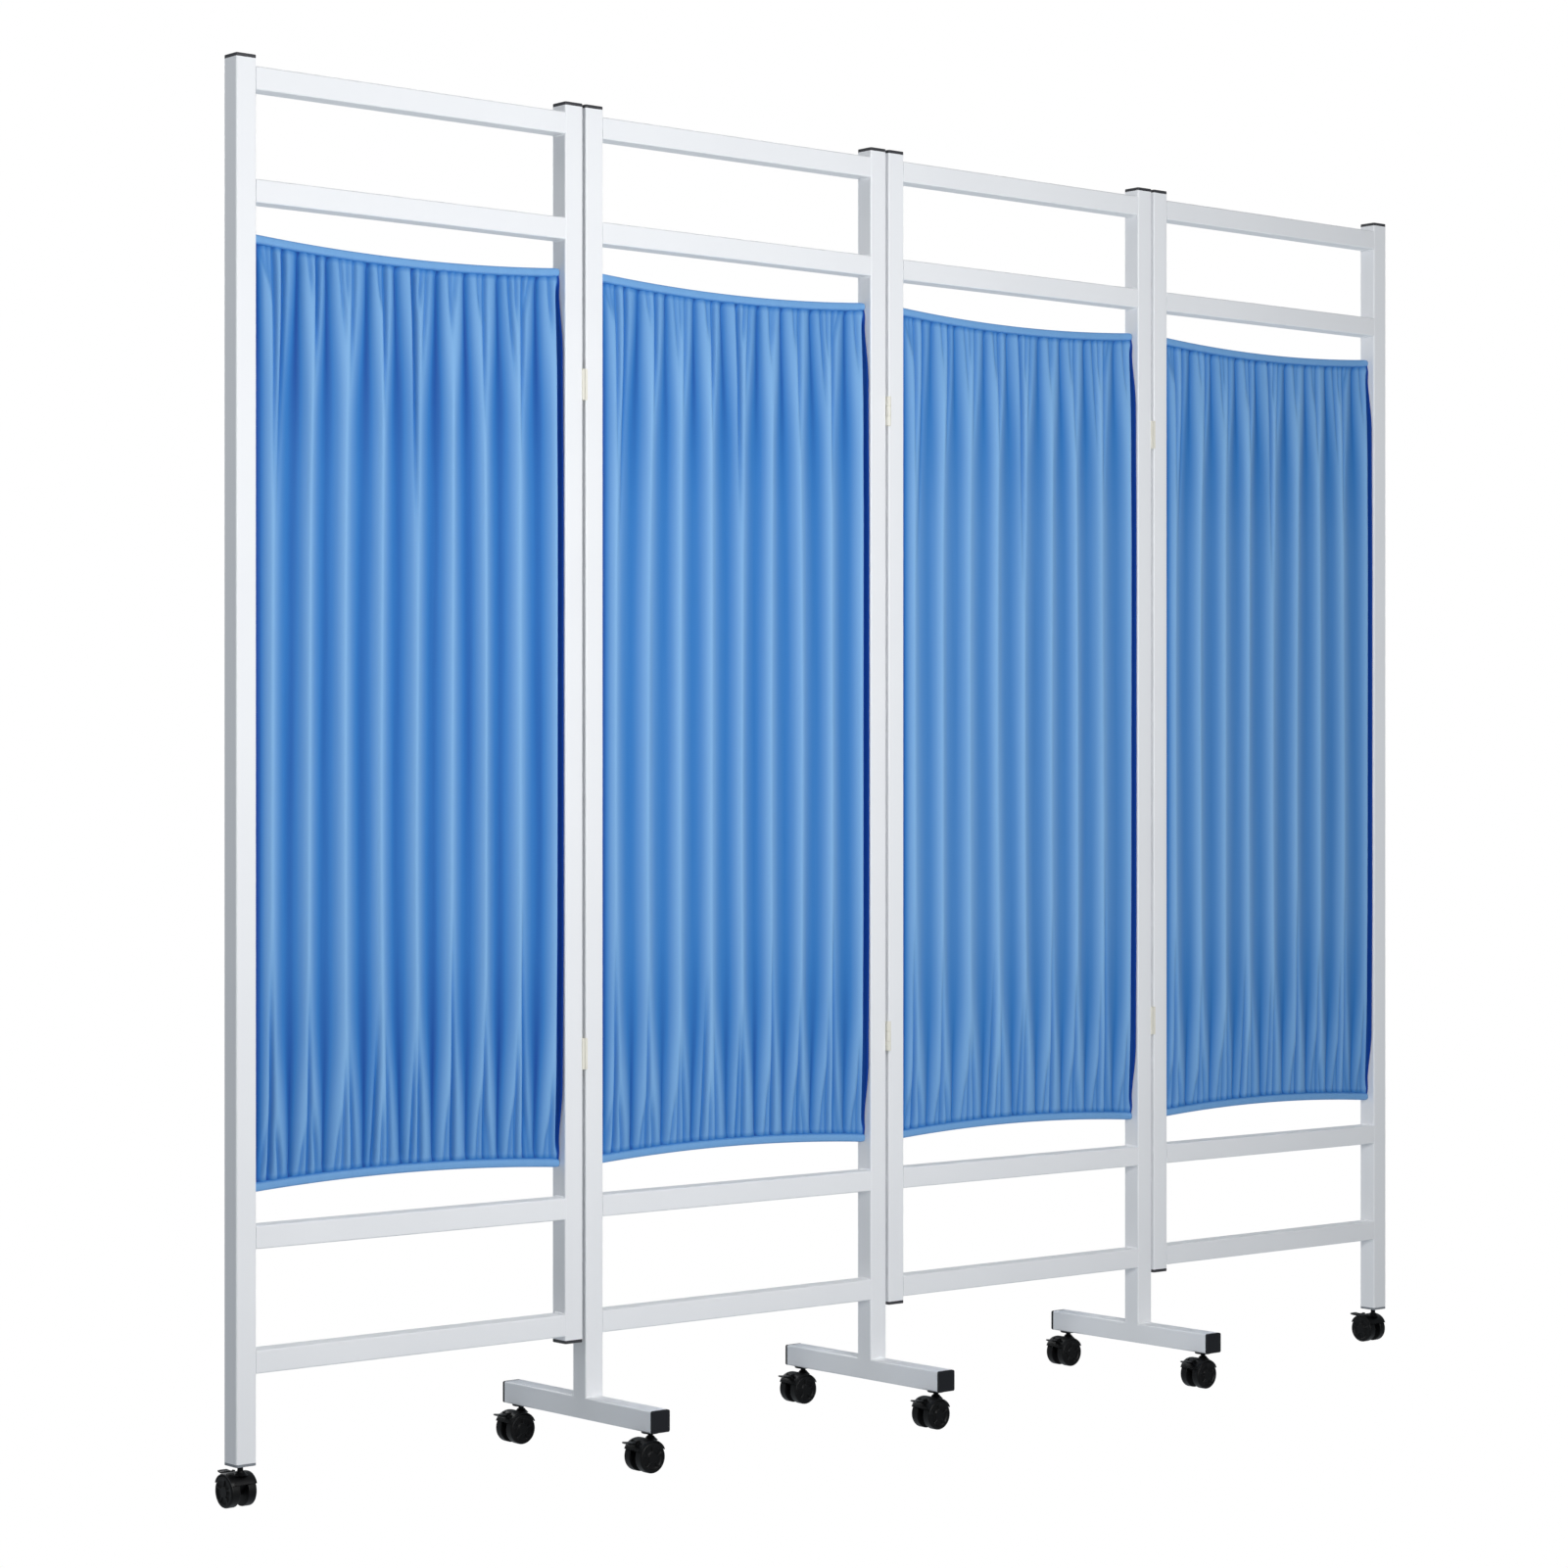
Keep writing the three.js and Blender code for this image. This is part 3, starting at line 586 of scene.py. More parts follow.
def wheelShell(trail, side):
    # tread, rounded shoulder, and a dished disc with ribs; side is 1 or -1 along the axle
    steps = 120
    turn = np.arange(steps) / steps * 2 * np.pi
    radius, inner, edge, innerEdge = wheel["radius"], wheel["inner"], wheel["edge"], wheel["innerEdge"]
    outer = inner + wheel["width"]
    discEnd, discStart = radius - edge - wheel["rim"], wheel["hub"] + wheel["hubRim"]
    profile = [(wheel["hub"], inner)]
    profile += [(radius - innerEdge * (1 - np.sin(a)), inner + innerEdge * (1 - np.cos(a)))
                for a in np.linspace(0, np.pi / 2, 4)]
    profile += [(radius - edge * (1 - np.cos(a)), outer - edge * (1 - np.sin(a)))
                for a in np.linspace(0, np.pi / 2, 7)]
    profile += [(discEnd - share * (discEnd - discStart), outer) for share in np.linspace(0, 1, 9)]
    profile += [(wheel["hub"], outer), (wheel["hubFace"], outer), (wheel["middle"], outer)]
    rho, along = (np.array(values, float)[:, None] for values in zip(*profile))
    # only the disc sinks, between the rim and the hub, and less at each rib
    across = np.clip((rho - discStart) / (discEnd - discStart), 0, 1)
    bowl = np.clip(4 * across * (1 - across), 0, 1) ** 0.35
    spoke = 0.5 + 0.5 * np.cos(wheel["ribs"] * turn)
    rib = wheel["ribRise"] * np.clip((spoke - wheel["ribStart"]) / wheel["ribSlope"], 0, 1)
    along = along - wheel["dish"] * bowl * (1 - rib)
    shell = laid(loopShell(np.stack([rho * np.cos(turn), rho * np.sin(turn), along], axis=-1)), "y")
    if side < 0:
        shell = flipped(shell, 1)
    return moved(shell, (-trail, 0, radius))


def hoodShell(trail):
    # a curved guard round the wheels' tops: its section, across the caster, has round shoulders
    low = np.radians(hood["openAngle"])
    turn = np.linspace(low, np.pi - low, 26)[:, None]
    across = np.linspace(-1, 1, 25)
    sideways = np.clip((np.abs(across) - hood["shoulderStart"]) / (1 - hood["shoulderStart"]), 0, 1)
    drop = hood["shoulder"] * sideways ** 2.4
    # the guard is thickest over the wheels and pinches in at its front and back lips
    fromLip = np.minimum(turn - low, np.pi - low - turn)
    pinch = hood["lip"] * np.clip(1 - fromLip / hood["lipAngle"], 0, 1) ** 2
    outer = hood["radius"] - drop - pinch
    inner = hood["inner"] - drop - 0.2 * pinch
    y = np.broadcast_to(hood["half"] * across, outer.shape)
    radius = np.concatenate([outer, inner[:, ::-1]], axis=1)
    loopY = np.concatenate([y, hood["innerShare"] * y[:, ::-1]], axis=1)
    x = radius * np.cos(turn) - trail
    z = radius * np.sin(turn) + wheel["radius"]
    return loopShell(np.stack([x, loopY, z], axis=-1))


def webShell(trail):
    # its outline, seen along the axle, carried across with its edges drawn in
    angle = np.linspace(np.radians(web["startAngle"]), np.radians(web["endAngle"]), 20)
    arc = web["radius"] * np.column_stack([np.cos(angle), np.sin(angle)])
    outline = np.concatenate([arc, web["below"]])[::-1]
    half, flat, drawn = web["half"], web["half"] - web["edge"], web["edgeShare"]
    rings = [np.column_stack([outline[:, 0] * share - trail, np.full(len(outline), y),
                              outline[:, 1] * share + wheel["radius"]])
             for y, share in ((-half, drawn), (-flat, 1), (flat, 1), (half, drawn))]
    return loopShell(np.array(rings))


def makeHousing(caster, material):
    # hood, web between the wheels, the boss that flares out of the hood, stem, ears and their pin
    trail = caster["trail"]
    radius, top, bevel = stem["radius"], stem["top"], stem["bevel"]
    grooved = radius - stem["grooveDepth"]
    groove = zip((radius, grooved, grooved, radius), stem["groove"])
    post = turnedShell([(radius, stem["foot"]), *groove, (radius, top - bevel), (radius - bevel, top)], 32)
    shells = [hoodShell(trail), webShell(trail), turnedShell(stem["boss"], 40), post]
    earInner = pedal["arm"] / 2 + ear["gap"]
    pinX, pinZ = -trail - pedal["pivotReach"], pedal["pivotHeight"]
    for side in (-1, 1):
        inner, outer = sorted((side * earInner, side * (earInner + ear["width"])))
        low = (pinX - ear["half"], inner, ear["bottom"])
        high = (pinX + ear["half"], outer, pinZ + ear["above"])
        shells.append(boxShell(low, high, ear["corner"], ear["edge"]))
    bar = barShell(pin["radius"], earInner + pin["reach"], pin["cut"], pin["bevel"], 20)
    shells.append(moved(laid(bar, "y"), (pinX, 0, pinZ)))
    node = f"caster_{caster['number']}_housing"
    makePiece(f"{node}_moulding", placed(shells, caster), material, node)


def makeWheels(caster, material):
    # both wheels and their axle
    trail = caster["trail"]
    bar = barShell(**axle)
    shells = [wheelShell(trail, 1), wheelShell(trail, -1)]
    shells.append(moved(laid(bar, "y"), (-trail, 0, wheel["radius"])))
    node = f"caster_{caster['number']}_wheels"
    makePiece(f"{node}_pair", placed(shells, caster), material, node, sharpAngle=40)


def makePedal(caster, material):
    # the brake pedal: a blade that curls up at its tip, the eye on the pin, and an arm between them
    pinX, pinZ = -caster["trail"] - pedal["pivotReach"], pedal["pivotHeight"]
    bladeStart = -caster["trail"] - pedal["reach"] + pedal["length"]
    along = np.linspace(0, 1, 14)[:, None]
    section = np.linspace(0, 2 * np.pi, 24, endpoint=False)
    width = pedal["width"] / 2 * (1 - pedal["narrowing"] * along ** 4)
    middle = pinZ - pedal["below"] + pedal["rise"] * along ** 2
    # the blade's section is a flat rounded box, which thins out towards both ends
    fade = np.clip(8 * (1 - along), 0, 1) ** 0.5 * np.clip(8 * along + 0.3, 0, 1) ** 0.5
    y = width * squared(np.cos(section), 0.35) * (0.9 + 0.1 * fade)
    z = middle + pedal["thickness"] / 2 * squared(np.sin(section), 0.6) * fade
    x = np.broadcast_to(bladeStart - along * pedal["length"], y.shape)
    blade = facedAbout(loopShell(np.stack([x, y, z], axis=-1)))
    halfArm = pedal["arm"] / 2
    eye = laid(barShell(pedal["eye"], halfArm, pedal["eyeBevel"], pedal["eyeBevel"], 24), "y")
    arm = boxShell((bladeStart - pedal["inBlade"], -halfArm, pinZ - pedal["armBottom"]),
                   (pinX + pedal["pastPin"], halfArm, pinZ + pedal["armTop"]),
                   pedal["armCorner"], pedal["armEdge"])
    shells = [blade, moved(eye, (pinX, 0, pinZ)), arm]
    node = f"caster_{caster['number']}_brake_pedal"
    makePiece(f"{node}_lever", placed(shells, caster), material, node)


# The hinges. A leaf is worked out for the right-hand post, round its pin at the origin.

hinge = {
    # its height, the gap between the posts, a leaf's thickness and the rounding of its ends
    "height": 43.0, "gap": 5.0, "leaf": 2.2, "edge": 0.35,
    # the knuckles, the gap between them, and the room round them; each has a block that joins its leaf
    "knuckle": 3.5, "knuckleGap": 0.3, "relief": 0.4, "blockInset": 0.05, "blockPast": 0.5, "corner": 0.5,
    # the pin's place from the post, its size and its bevel
    "offset": 2.5, "pin": 1.5, "pinCut": 0.3, "pinBevel": 0.4,
    # the lip that covers the front of the gap
    "lip": 1.2, "lipWidth": 2.0,
}


def leafShells(holdsPin):
    # a flat leaf with a lip at its front, its knuckles, and in one leaf of the two the pin
    outer = hinge["gap"] / 2
    inner = outer - hinge["leaf"]
    half, edge, radius = hinge["height"] / 2, hinge["edge"], hinge["knuckle"]
    far = -(hinge["offset"] + 2 * tube["half"])
    relief = -(radius + hinge["relief"])
    # the leaf and its lip are an L-shaped outline, drawn in at its top and bottom
    front, lip = far - hinge["lip"], outer + hinge["lipWidth"]
    outline = np.array([(inner, front), (lip, front), (lip, far), (outer, far), (outer, relief),
                        (inner, relief)])
    inwards = np.array([(1, 1), (-1, 1), (-1, -1), (-1, -1), (-1, -1), (1, -1)])
    rings = [np.column_stack([outline + inset * inwards, np.full(len(outline), height)])
             for height, inset in ((-half, edge), (edge - half, 0), (half - edge, 0), (half, edge))]
    shells = [loopShell(np.array(rings))]
    # three knuckles share the hinge's height: the pin's leaf has the outer two
    knuckle = (hinge["height"] - 2 * hinge["knuckleGap"]) / 3
    for middle in (knuckle / 2 - half, half - knuckle / 2) if holdsPin else (0.0,):
        low, high = middle - knuckle / 2, middle + knuckle / 2
        shells.append(boxShell((inner + hinge["blockInset"], relief - hinge["leaf"], low),
                               (outer - hinge["blockInset"], hinge["blockPast"], high),
                               hinge["corner"], edge))
        shells.append(moved(barShell(radius, knuckle / 2, edge, edge, 32), (0, 0, middle)))
    if holdsPin:
        bevel = hinge["pinBevel"]
        shells.append(barShell(hinge["pin"], half + bevel, hinge["pinCut"], bevel, 24))
    return shells


def makeHinges(number, material):
    x, y, _ = np.array(joints[f"hinge_{number}"]["pos_m"]) / mm
    atFront = number == 2
    turn = np.pi if atFront else 0.0
    for level in ("upper", "lower"):
        for side in ("left", "right"):
            node = f"hinge_{number}_{level}_{side}_leaf"
            low, high = boxOf(node)
            holdsPin = (side == "left") == atFront
            shells = leafShells(holdsPin)
            if not holdsPin:
                shells = [flipped(shell, 0) for shell in shells]
            shells = [moved(shell, (x, y, (low[2] + high[2]) / 2), turn) for shell in shells]
            makePiece(f"{node}_moulding", shells, material, node)


# The curtains. Places across are in eighths of the opening, from its left side.

curtain = {
    # each valley between two folds: where it is at the lower hem, halfway up and at the upper hem
    "valleys": ((0.96, 0.92, 1.15), (1.88, 1.84, 1.95), (2.79, 2.79, 2.89), (3.82, 3.68, 3.62),
                (4.67, 4.62, 4.74), (5.55, 5.50, 5.48), (6.38, 6.42, 6.35), (7.39, 7.42, 7.45)),
    # the valley that the right-hand post cuts off, where a crest stands between two valleys, how
    # fast a valley's place settles away from the hems, and how far it strays, by chance and in waves
    "lastValley": 8.35, "crestPlace": 0.45, "settling": 2.2, "stray": (0.04, 0.03),
    # small pleats at each hem: place, length in millimetres and depth as a share
    "lowerPleats": (
        (0.20, 80, 0.55), (0.44, 320, 0.9), (0.70, 100, 0.65), (1.20, 70, 0.55), (1.40, 260, 0.8),
        (1.62, 100, 0.6), (2.10, 100, 0.55), (2.30, 160, 0.65), (2.52, 180, 0.75), (3.02, 280, 0.9),
        (3.26, 110, 0.55), (3.46, 200, 0.7), (4.04, 210, 0.8), (4.24, 200, 0.8), (4.92, 100, 0.55),
        (5.12, 330, 0.9), (5.78, 110, 0.55), (5.95, 260, 0.85), (6.12, 80, 0.55), (6.62, 110, 0.6),
        (6.80, 240, 0.75), (7.06, 420, 0.9), (7.20, 110, 0.55), (7.60, 80, 0.55), (7.78, 160, 0.65)),
    "upperPleats": (
        (0.22, 60, 0.5), (0.36, 70, 0.55), (0.52, 320, 0.8), (0.80, 360, 0.95), (1.42, 70, 0.45),
        (1.66, 210, 0.9), (2.20, 120, 0.5), (2.38, 70, 0.45), (2.55, 180, 0.65), (3.18, 80, 0.55),
        (3.33, 200, 0.8), (4.07, 420, 0.95), (4.30, 80, 0.55), (4.46, 160, 0.55), (5.06, 100, 0.55),
        (5.20, 70, 0.45), (5.78, 80, 0.5), (5.95, 210, 0.7), (6.62, 180, 0.7), (6.82, 80, 0.55),
        (7.03, 300, 0.75), (7.22, 70, 0.5), (7.72, 110, 0.55)),
    # a pleat's width, how far it leans to the crest of its own fold as it runs out, and how its
    # length and its place vary by chance
    "pleatWidth": 3.4, "lean": 0.7, "pleatLength": (0.85, 1.15), "pleatStray": 0.02,
    # how much the crests narrow at the lower and upper hems, and how sharp they are away from them
    "narrowing": (3.8, 3.2), "ridge": 2.0,
    # how deep each panel's folds are, as a share, at the hems and away from them
    "slack": ((0.94, 0.85), (0.88, 0.76), (0.8, 0.66), (0.82, 0.66)),
    # the depth of the folds, and how far their crests stand forward at the hems and away from them
    "depth": 11.0, "hemForward": 3.6, "forward": 10.0,
    # the width of the strip that lies back beside the left-hand post, the place, width and share of
    # the depth of the groove beside the right-hand one, and how far forward the edge stands beyond it
    "leftEdge": 9.0, "groove": (3.6, 2.6, 0.8), "edgeForward": 12.0, "against": (2.4, 0.6),
    # slow waves of the depth, as share, turn to a millimetre across and turn up the cloth
    "waves": ((0.07, 0.021, 3), (0.04, 0.063, -5)),
    # gathers under the hems, as depth, spacing and reach, and the depth and width of faint creases
    "gathers": (0.5, 8.3, 16.0), "creases": (0.22, 4.1),
    # how far the sides are drawn in below the hems, the least room beside the posts, and the
    # farthest that the cloth stands from the middle of the frame
    "draw": 1.5, "sideGap": 0.5, "room": 0.4, "reach": 13.2,
    # the cloth's thickness, how far it is tucked into the hems, and its grid, with columns added
    # over a part of the width at the groove
    "thickness": 0.6, "tuck": 3.0, "columns": 292, "rows": 132, "rowPower": 1.35,
    "fineColumns": 24, "finePart": (0.982, 0.9995),
}
# how far from the hems, in millimetres, each change in the cloth starts and is complete
change = {"narrowCrests": (-40, 250), "leftEdge": (-20, 60), "groove": (0, 30), "loose": (2, 190),
          "slack": (80, 330), "ends": (-6, 14), "against": (25, 110), "drawnIn": (-10, 40),
          "letOut": (90, 330), "seamTone": (2, 9)}
# painted shade: how far from the posts, in millimetres, the cloth turns from painted shade to pale, how
# pale it is at its seams and in the valleys near the hems, how pale a hem is, and what painted shade its
# outer edge and seam take from that
paintedShade = {"rightSide": (3, 7), "leftSide": (6, 20), "seam": 0.35, "nearHem": 0.8,
        "hem": 0.76, "hemEdge": 0.22, "hemSeam": 0.6}
hem = {
    # its height, and half its thickness
    "height": 12.5, "half": 2.9,
    # how far the middle of the upper hem hangs down, and that of the lower one is drawn up
    "sag": 10.0, "rise": 9.5,
    # the roll is pinched at its seam and narrower at its ends, with puckers along it
    "pinch": 0.5, "pinchStart": 0.35, "end": 0.75, "pucker": 0.05, "puckerLength": 7.3, "fineness": 0.03,
    "columns": 280, "around": 28,
    # its stitches: length, spacing, radius and taper, and their row's place up, out and at its ends
    "stitch": 2.6, "pitch": 3.6, "thread": 0.3, "taper": (0.22, 0.35),
    "row": 2.2, "rowOut": 2.15, "rowEnd": 3,
}


def smooth(value, low, high):
    # rises from 0 at low to 1 at high, level at both ends
    share = np.clip((value - low) / (high - low), 0, 1)
    return share * share * (3 - 2 * share)


def hemShift(across, direction):
    # a hem is drawn towards the middle of the cloth along a parabola. direction is 1 for the upper
    # hem and -1 for the lower.
    bow = 1 - (2 * across - 1) ** 2
    return -hem["sag"] * bow if direction > 0 else hem["rise"] * bow


def foldDepth(x, up, fromLower, fromUpper, eighth, chance):
    # how deep the cloth lies behind its crests, from 0 to 1. It falls from each crest to the valleys
    # beside it: gently away from the hems, where a crest is a narrow ridge, and steeply near them,
    # where the valleys are narrow. Short pleats cut into it at the hems.
    below, above = (np.clip(part, 0, 1) ** curtain["settling"] for part in (1 - 2 * up, 2 * up - 1))
    stray, wave = curtain["stray"]
    valleys = [middle + (lower - middle) * below + (upper - middle) * above
               + stray * chance.uniform(-1, 1) + wave * np.sin(5 * up + chance.uniform(0, 6))
               for lower, middle, upper in curtain["valleys"]]
    valleys = np.hstack([0 * up, *valleys, 0 * up + curtain["lastValley"]])
    crests = valleys[:, :-1] + curtain["crestPlace"] * np.diff(valleys, axis=1)
    knots = np.sort(np.hstack([valleys, crests]), axis=1) * eighth
    fall = np.array([np.interp(row, places, np.arange(len(places)) % 2) for row, places in zip(x, knots)])
    tight = 1 - smooth(np.minimum(fromLower, fromUpper), *change["narrowCrests"])
    away = np.sqrt((1 - fall) ** 2 + 0.001)         # a little rounded at the crest itself
    narrowing = np.where(up < 0.5, *curtain["narrowing"])
    rise = np.clip(1 - away ** (1 + narrowing * tight ** 2), 0, 1)
    rise = rise ** (curtain["ridge"] - (curtain["ridge"] - 1) * tight)
    # a pleat is widest and deepest at its hem
    for name, distance, hemRow in (("lowerPleats", fromLower, 0), ("upperPleats", fromUpper, -1)):
        for place, length, share in curtain[name]:
            length *= chance.uniform(*curtain["pleatLength"])
            reach = np.clip(distance / length, 0, 1)
            fold = np.argmin(np.abs(crests[hemRow] - place))
            start = place + curtain["pleatStray"] * chance.uniform(-1, 1)
            middle = start + curtain["lean"] * reach * (crests[:, fold:fold + 1] - start)
            width = curtain["pleatWidth"] * (1.25 - 0.5 * reach)
            cut = share * (1 - smooth(reach, 0.4, 1))
            rise *= 1 - cut * np.exp(-((x - middle * eighth) / width) ** 2)
    return 1 - rise


def clothSurface(low, high, slack, chance):
    # the middle of the cloth between the hems, as a grid of points, and how pale each point is on
    # the front and on the back: a painted highlight along the crests, and painted shade in the valleys,
    # darkest near the hems
    width = high[0] - low[0]
    # columns lie closer together at the groove beside the right-hand post, and rows at the hems
    across = np.append(np.linspace(0, 1, curtain["columns"]),
                       np.linspace(*curtain["finePart"], curtain["fineColumns"]))
    across = np.sort(across)[None, :]
    level = np.linspace(-1, 1, curtain["rows"])[:, None]
    level = 0.5 + 0.5 * np.sign(level) * (1 - (1 - np.abs(level)) ** curtain["rowPower"])
    tucked = hem["height"] - curtain["tuck"]
    bottom = low[2] + tucked + hemShift(across, -1)
    top = high[2] - tucked + hemShift(across, 1)
    z = bottom + (top - bottom) * level
    x = width * across + 0 * z
    fromLower, fromUpper = z - bottom, top - z
    near = np.minimum(fromLower, fromUpper)
    grown = {name: smooth(near, *distances) for name, distances in change.items()}
    depth = foldDepth(x, level, fromLower, fromUpper, width / 8, chance)
    # the left edge lies at the back of the frame, and the right edge stands forward
    edge = np.exp(-(x / curtain["leftEdge"]) ** 2) * grown["leftEdge"]
    place, wide, share = curtain["groove"]
    groove = share * np.exp(-((width - x - place) / wide) ** 2) * grown["groove"]
    depth = 1 - (1 - depth) * (1 - edge) * (1 - groove)
    depth = depth * (slack[0] + (slack[1] - slack[0]) * grown["slack"])
    forward = curtain["hemForward"] + (curtain["forward"] - curtain["hemForward"]) * grown["loose"] ** 0.6
    wander = 1 + sum(share * np.sin(sideways * x + upwards * level)
                     for share, sideways, upwards in curtain["waves"])
    gather, spacing, reach = curtain["gathers"]
    gathers = gather * np.exp(-near / reach) * np.sin(2 * np.pi * x / spacing + 2.2 * np.sin(x / 23))
    crease, spacing = curtain["creases"]
    creases = crease * np.sin(x / spacing + 2.2 * np.sin(z / 210)) * np.sin(z / 170 + x / 60)
    y = (curtain["depth"] * depth - forward) * grown["ends"] * wander + gathers + creases
    outermost, innermost = curtain["against"]
    against = smooth(x, width - outermost, width - innermost) * grown["against"]
    y = y - (y + curtain["edgeForward"]) * against
    # the sides are drawn in next to the hems, where nothing holds the cloth out to the posts
    side = curtain["sideGap"] + curtain["draw"] * grown["drawnIn"] * (1 - grown["letOut"])
    x = side + x * (width - 2 * side) / width
    x = np.clip(x, curtain["room"], width - curtain["room"])
    y = np.clip(y, -curtain["reach"], curtain["reach"])
    # painted shade beside the posts, in a painted shadow line along the hems' seams, and in the valleys
    # near the hems
    sides = smooth(width - x, *paintedShade["rightSide"]) * smooth(x, *paintedShade["leftSide"])
    sides = sides * (paintedShade["seam"] + (1 - paintedShade["seam"]) * grown["seamTone"])
    tones = [rise * sides * (paintedShade["nearHem"] + (1 - paintedShade["nearHem"]) * grown["loose"])
             for rise in (1 - depth, depth)]
    return np.stack([low[0] + x, (low[1] + high[1]) / 2 + y, z], axis=-1), tones


def clothMesh(name, points, tones, cloth):
    # a closed sheet: the surface moved half its thickness to either side along its normals, with
    # its rim closed
    rows, columns = points.shape[:2]
    alongRows, alongColumns = np.gradient(points, axis=(0, 1))
    normal = np.cross(alongColumns, alongRows)
    normal /= np.linalg.norm(normal, axis=-1, keepdims=True)
    half = curtain["thickness"] / 2
    both = np.stack([points + half * normal, points - half * normal]).reshape(-1, 3)
    count = rows * columns
    index = np.arange(count).reshape(rows, columns)
    face = gridQuads(rows, columns, columns - 1)
    rim = np.concatenate([index[0], index[1:, -1], index[-1, -2::-1], index[-2:0:-1, 0]])
    following = np.roll(rim, -1)
    border = np.stack([rim, rim + count, following + count, following], -1)
    quads = np.concatenate([face, face[:, ::-1] + count, border])
    mesh = newMesh(name, both, quads.tolist(), cloth)
    # the weave's coordinates are lengths along the cloth, so that its threads keep their spacing
    step = np.linalg.norm(alongColumns, axis=-1).mean(axis=0)
    along = np.concatenate([[0.0], np.cumsum((step[1:] + step[:-1]) / 2)])
    flat = np.stack(np.broadcast_arrays(along[None, :], points[:, :, 2]), axis=-1).reshape(-1, 2) * mm
    addClothData(mesh, flat[quads.ravel() % count], np.ravel(tones))
    return mesh


def addClothData(mesh, corners, tones):
    # what the cloth's material reads: a place in the weave at each face's corner, and a tone of painted
    # shade and highlight at each point
    mesh.uv_layers.new(name="cloth").data.foreach_set("uv", corners.ravel())
    mesh.attributes.new("crest", "FLOAT", "POINT").data.foreach_set("value", tones)


def hemShell(low, high, edge, direction):
    # the hem: a flattened roll of cloth, bowed along its length, and the tone of each of its points.
    # edge is the height of its outer edge at the posts.
    across = np.linspace(0, 1, hem["columns"])[:, None]
    x = low[0] + (high[0] - low[0]) * across
    half = hem["height"] / 2
    turn = np.linspace(0, 2 * np.pi, hem["around"], endpoint=False)
    pucker = (1 + hem["pucker"] * np.sin(2 * np.pi * x / hem["puckerLength"] + 1.5 * np.sin(x / 31))
              + hem["fineness"] * np.sin(x / 3.7))
    ends = hem["end"] + (1 - hem["end"]) * np.clip(np.minimum(across, 1 - across) * 60, 0, 1) ** 0.4
    # full and round, and pinched at its inner edge where it is stitched
    pinch = 1 - hem["pinch"] * np.clip(-np.sin(turn) * direction - hem["pinchStart"], 0, 1)
    y = hem["half"] * squared(np.cos(turn), 0.8) * pinch * pucker * ends
    z = edge - direction * half + hemShift(across, direction) + half * np.sin(turn) * ends
    # pale, with painted shade towards its outer edge and along its seam
    outwards = direction * np.sin(turn)
    paintedHemShade = paintedShade["hemEdge"] * smooth(outwards, 0.6, 1) + paintedShade["hemSeam"] * smooth(-outwards, 0.5, 1)
    points = np.stack([np.broadcast_to(x, y.shape), (low[1] + high[1]) / 2 + y, z], axis=-1)
    return loopShell(points), np.broadcast_to(paintedShade["hem"] - paintedHemShade, y.shape).ravel()


def stitchShells(low, high, edge, direction):
    # short stitches along the hem's inner edge, on both sides of the cloth
    start = np.arange(low[0] + hem["rowEnd"], high[0] - hem["rowEnd"], hem["pitch"])
    shift = hemShift((start - low[0]) / (high[0] - low[0]), direction)
    height = edge - direction * (hem["height"] - hem["row"]) + shift
    stitch = laid(barShell(hem["thread"], hem["stitch"] / 2, *hem["taper"], 8), "x")
    middle = (low[1] + high[1]) / 2
    return [moved(stitch, (x, middle + side * hem["rowOut"], z)) for side in (-1, 1)
            for x, z in zip(start, height)]


def makeHem(node, name, low, high, direction, cloth, thread):
    # one hem and its stitches, as two pieces
    edge = high[2] if direction > 0 else low[2]
    shell, tones = hemShell(low, high, edge, direction)
    roll = makePiece(f"{node}_{name}_hem", [shell], cloth, node, replaced=False, sharpAngle=80)
    corners = np.zeros(len(roll.data.loops), int)
    roll.data.loops.foreach_get("vertex_index", corners)
    addClothData(roll.data, shell[0][corners][:, [0, 2]] * mm, tones)
    stitches = makePiece(f"{node}_{name}_stitches", stitchShells(low, high, edge, direction),
                         thread, node, replaced=False, sharpAngle=80)
    return [roll, stitches]


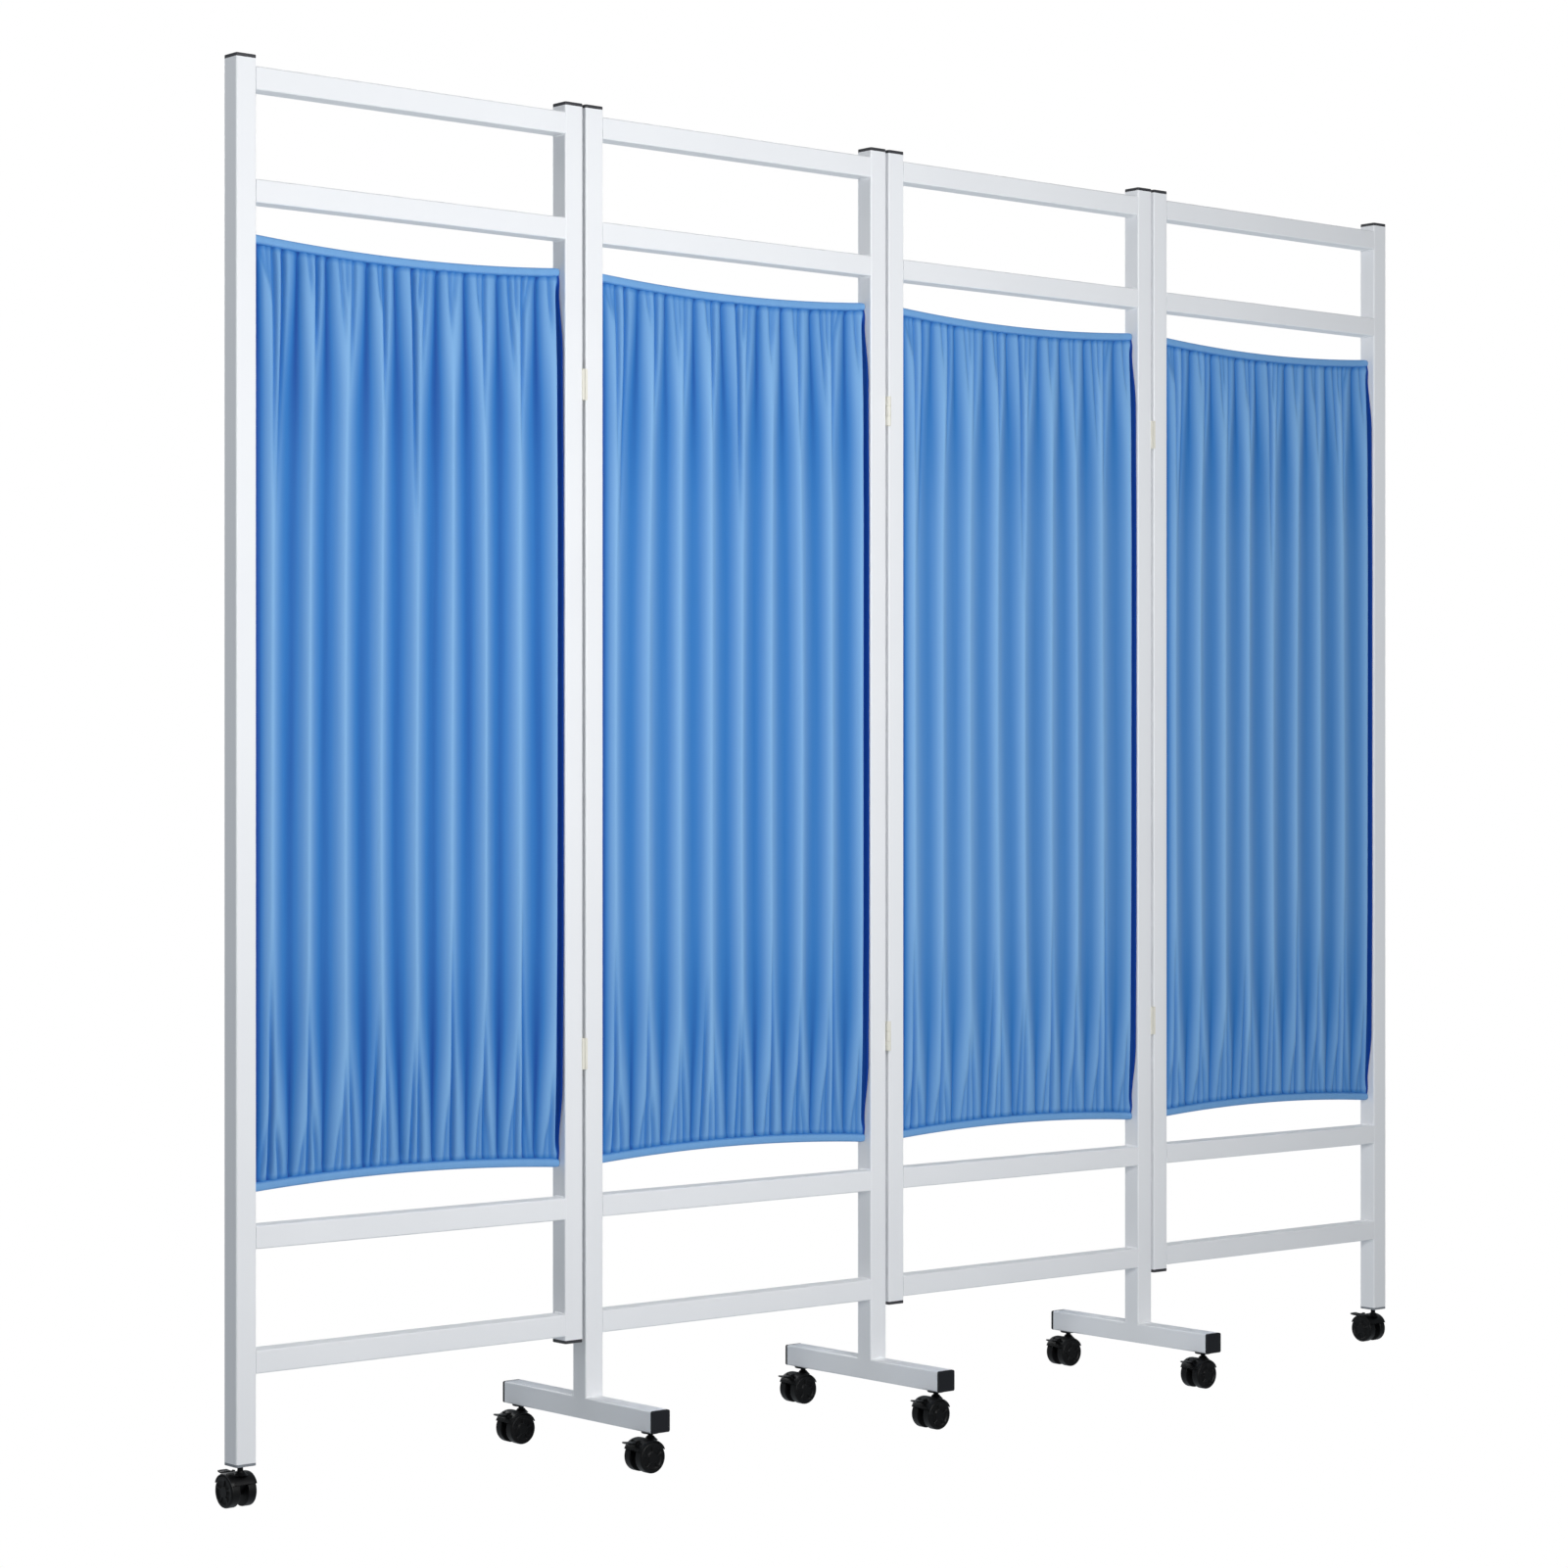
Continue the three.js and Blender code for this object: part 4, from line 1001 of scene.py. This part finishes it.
def makeCurtain(panel, cloth, thread):
    node = f"panel_{panel}_curtain"
    low, high = boxOf(node)
    chance = np.random.default_rng(40 + panel)
    points, tones = clothSurface(low, high, curtain["slack"][panel - 1], chance)
    piece = newObject(f"{node}_cloth", clothMesh(f"{node}_cloth", points, tones, cloth))
    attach(piece, bodyOf[node])
    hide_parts(node)
    hems = makeHem(node, "upper", low, high, 1, cloth, thread)
    hems += makeHem(node, "lower", low, high, -1, cloth, thread)
    # the cloth was cut to the mean length of its folds' curve, and to the height between its hems
    width = np.linalg.norm(np.diff(points, axis=1), axis=-1).sum(axis=1)
    width = np.average(width, weights=np.gradient(points[:, :, 2].mean(axis=1)))
    flat = (round(float(width) * mm, 3), round(float(np.ptp(points[:, :, 2])) * mm, 3))
    return flat


# The screen

makeCamera()
makeStudio()
print("camera and studio made")

coat = hardFinish("white_powder_coat", powder, "#EDEEF1", "#F3F4F6", 0.36, 0.5, 1.5)
capPlastic = hardFinish("dark_grey_polyethylene", moulding, "#37373B", "#3E3E42", 0.41, 0.55, 1.45)
plugPlastic = hardFinish("black_polyethylene", moulding, "#101217", "#14161B", 0.43, 0.57, 1.4)
insertPlastic = hardFinish("grey_polypropylene", moulding, "#7F848A", "#888D93", 0.43, 0.57, 1.49)
casterPlastic = hardFinish("black_caster_nylon", moulding, "#030304", "#060607", 0.38, 0.52, 1.32)
treadPlastic = hardFinish("black_wheel_nylon", moulding, "#020203", "#050506", 0.43, 0.57, 1.32)
hingeNylon = hardFinish("cream_hinge_nylon", moulding, "#E6E2D5", "#ECE9DE", 0.35, 0.49, 1.53)
thread = hardFinish("blue_polyester_thread", moulding, "#4F86C6", "#5A92D2", 0.63, 0.77, 1.5)
cloth = curtainCloth()
print("materials made")

for panel in panels:
    makeFrame(panel, coat)
    for side in ("left", "right"):
        makeCap(f"panel_{panel}_{side}_post_cap", plates["cap"], 1, capPlastic)
for node in sorted(set(feet.values())):
    if "tail_cap" in node:
        makeCap(node, plates["cap"], -1, capPlastic)
    if "stem_insert" in node:
        makeCap(node, plates["insert"], -1, insertPlastic)
print("frames and caps made")

for number in (1, 2, 3):
    makeFootBar(number, coat, plugPlastic)
    makeHinges(number, hingeNylon)
print("foot bars and hinges made")

for caster in casters():
    makeHousing(caster, casterPlastic)
    makeWheels(caster, treadPlastic)
    makePedal(caster, casterPlastic)
print("casters made")

for panel in panels:
    flat = makeCurtain(panel, cloth, thread)
    print("curtain", panel, "made,", flat[0], "by", flat[1], "m when flat")
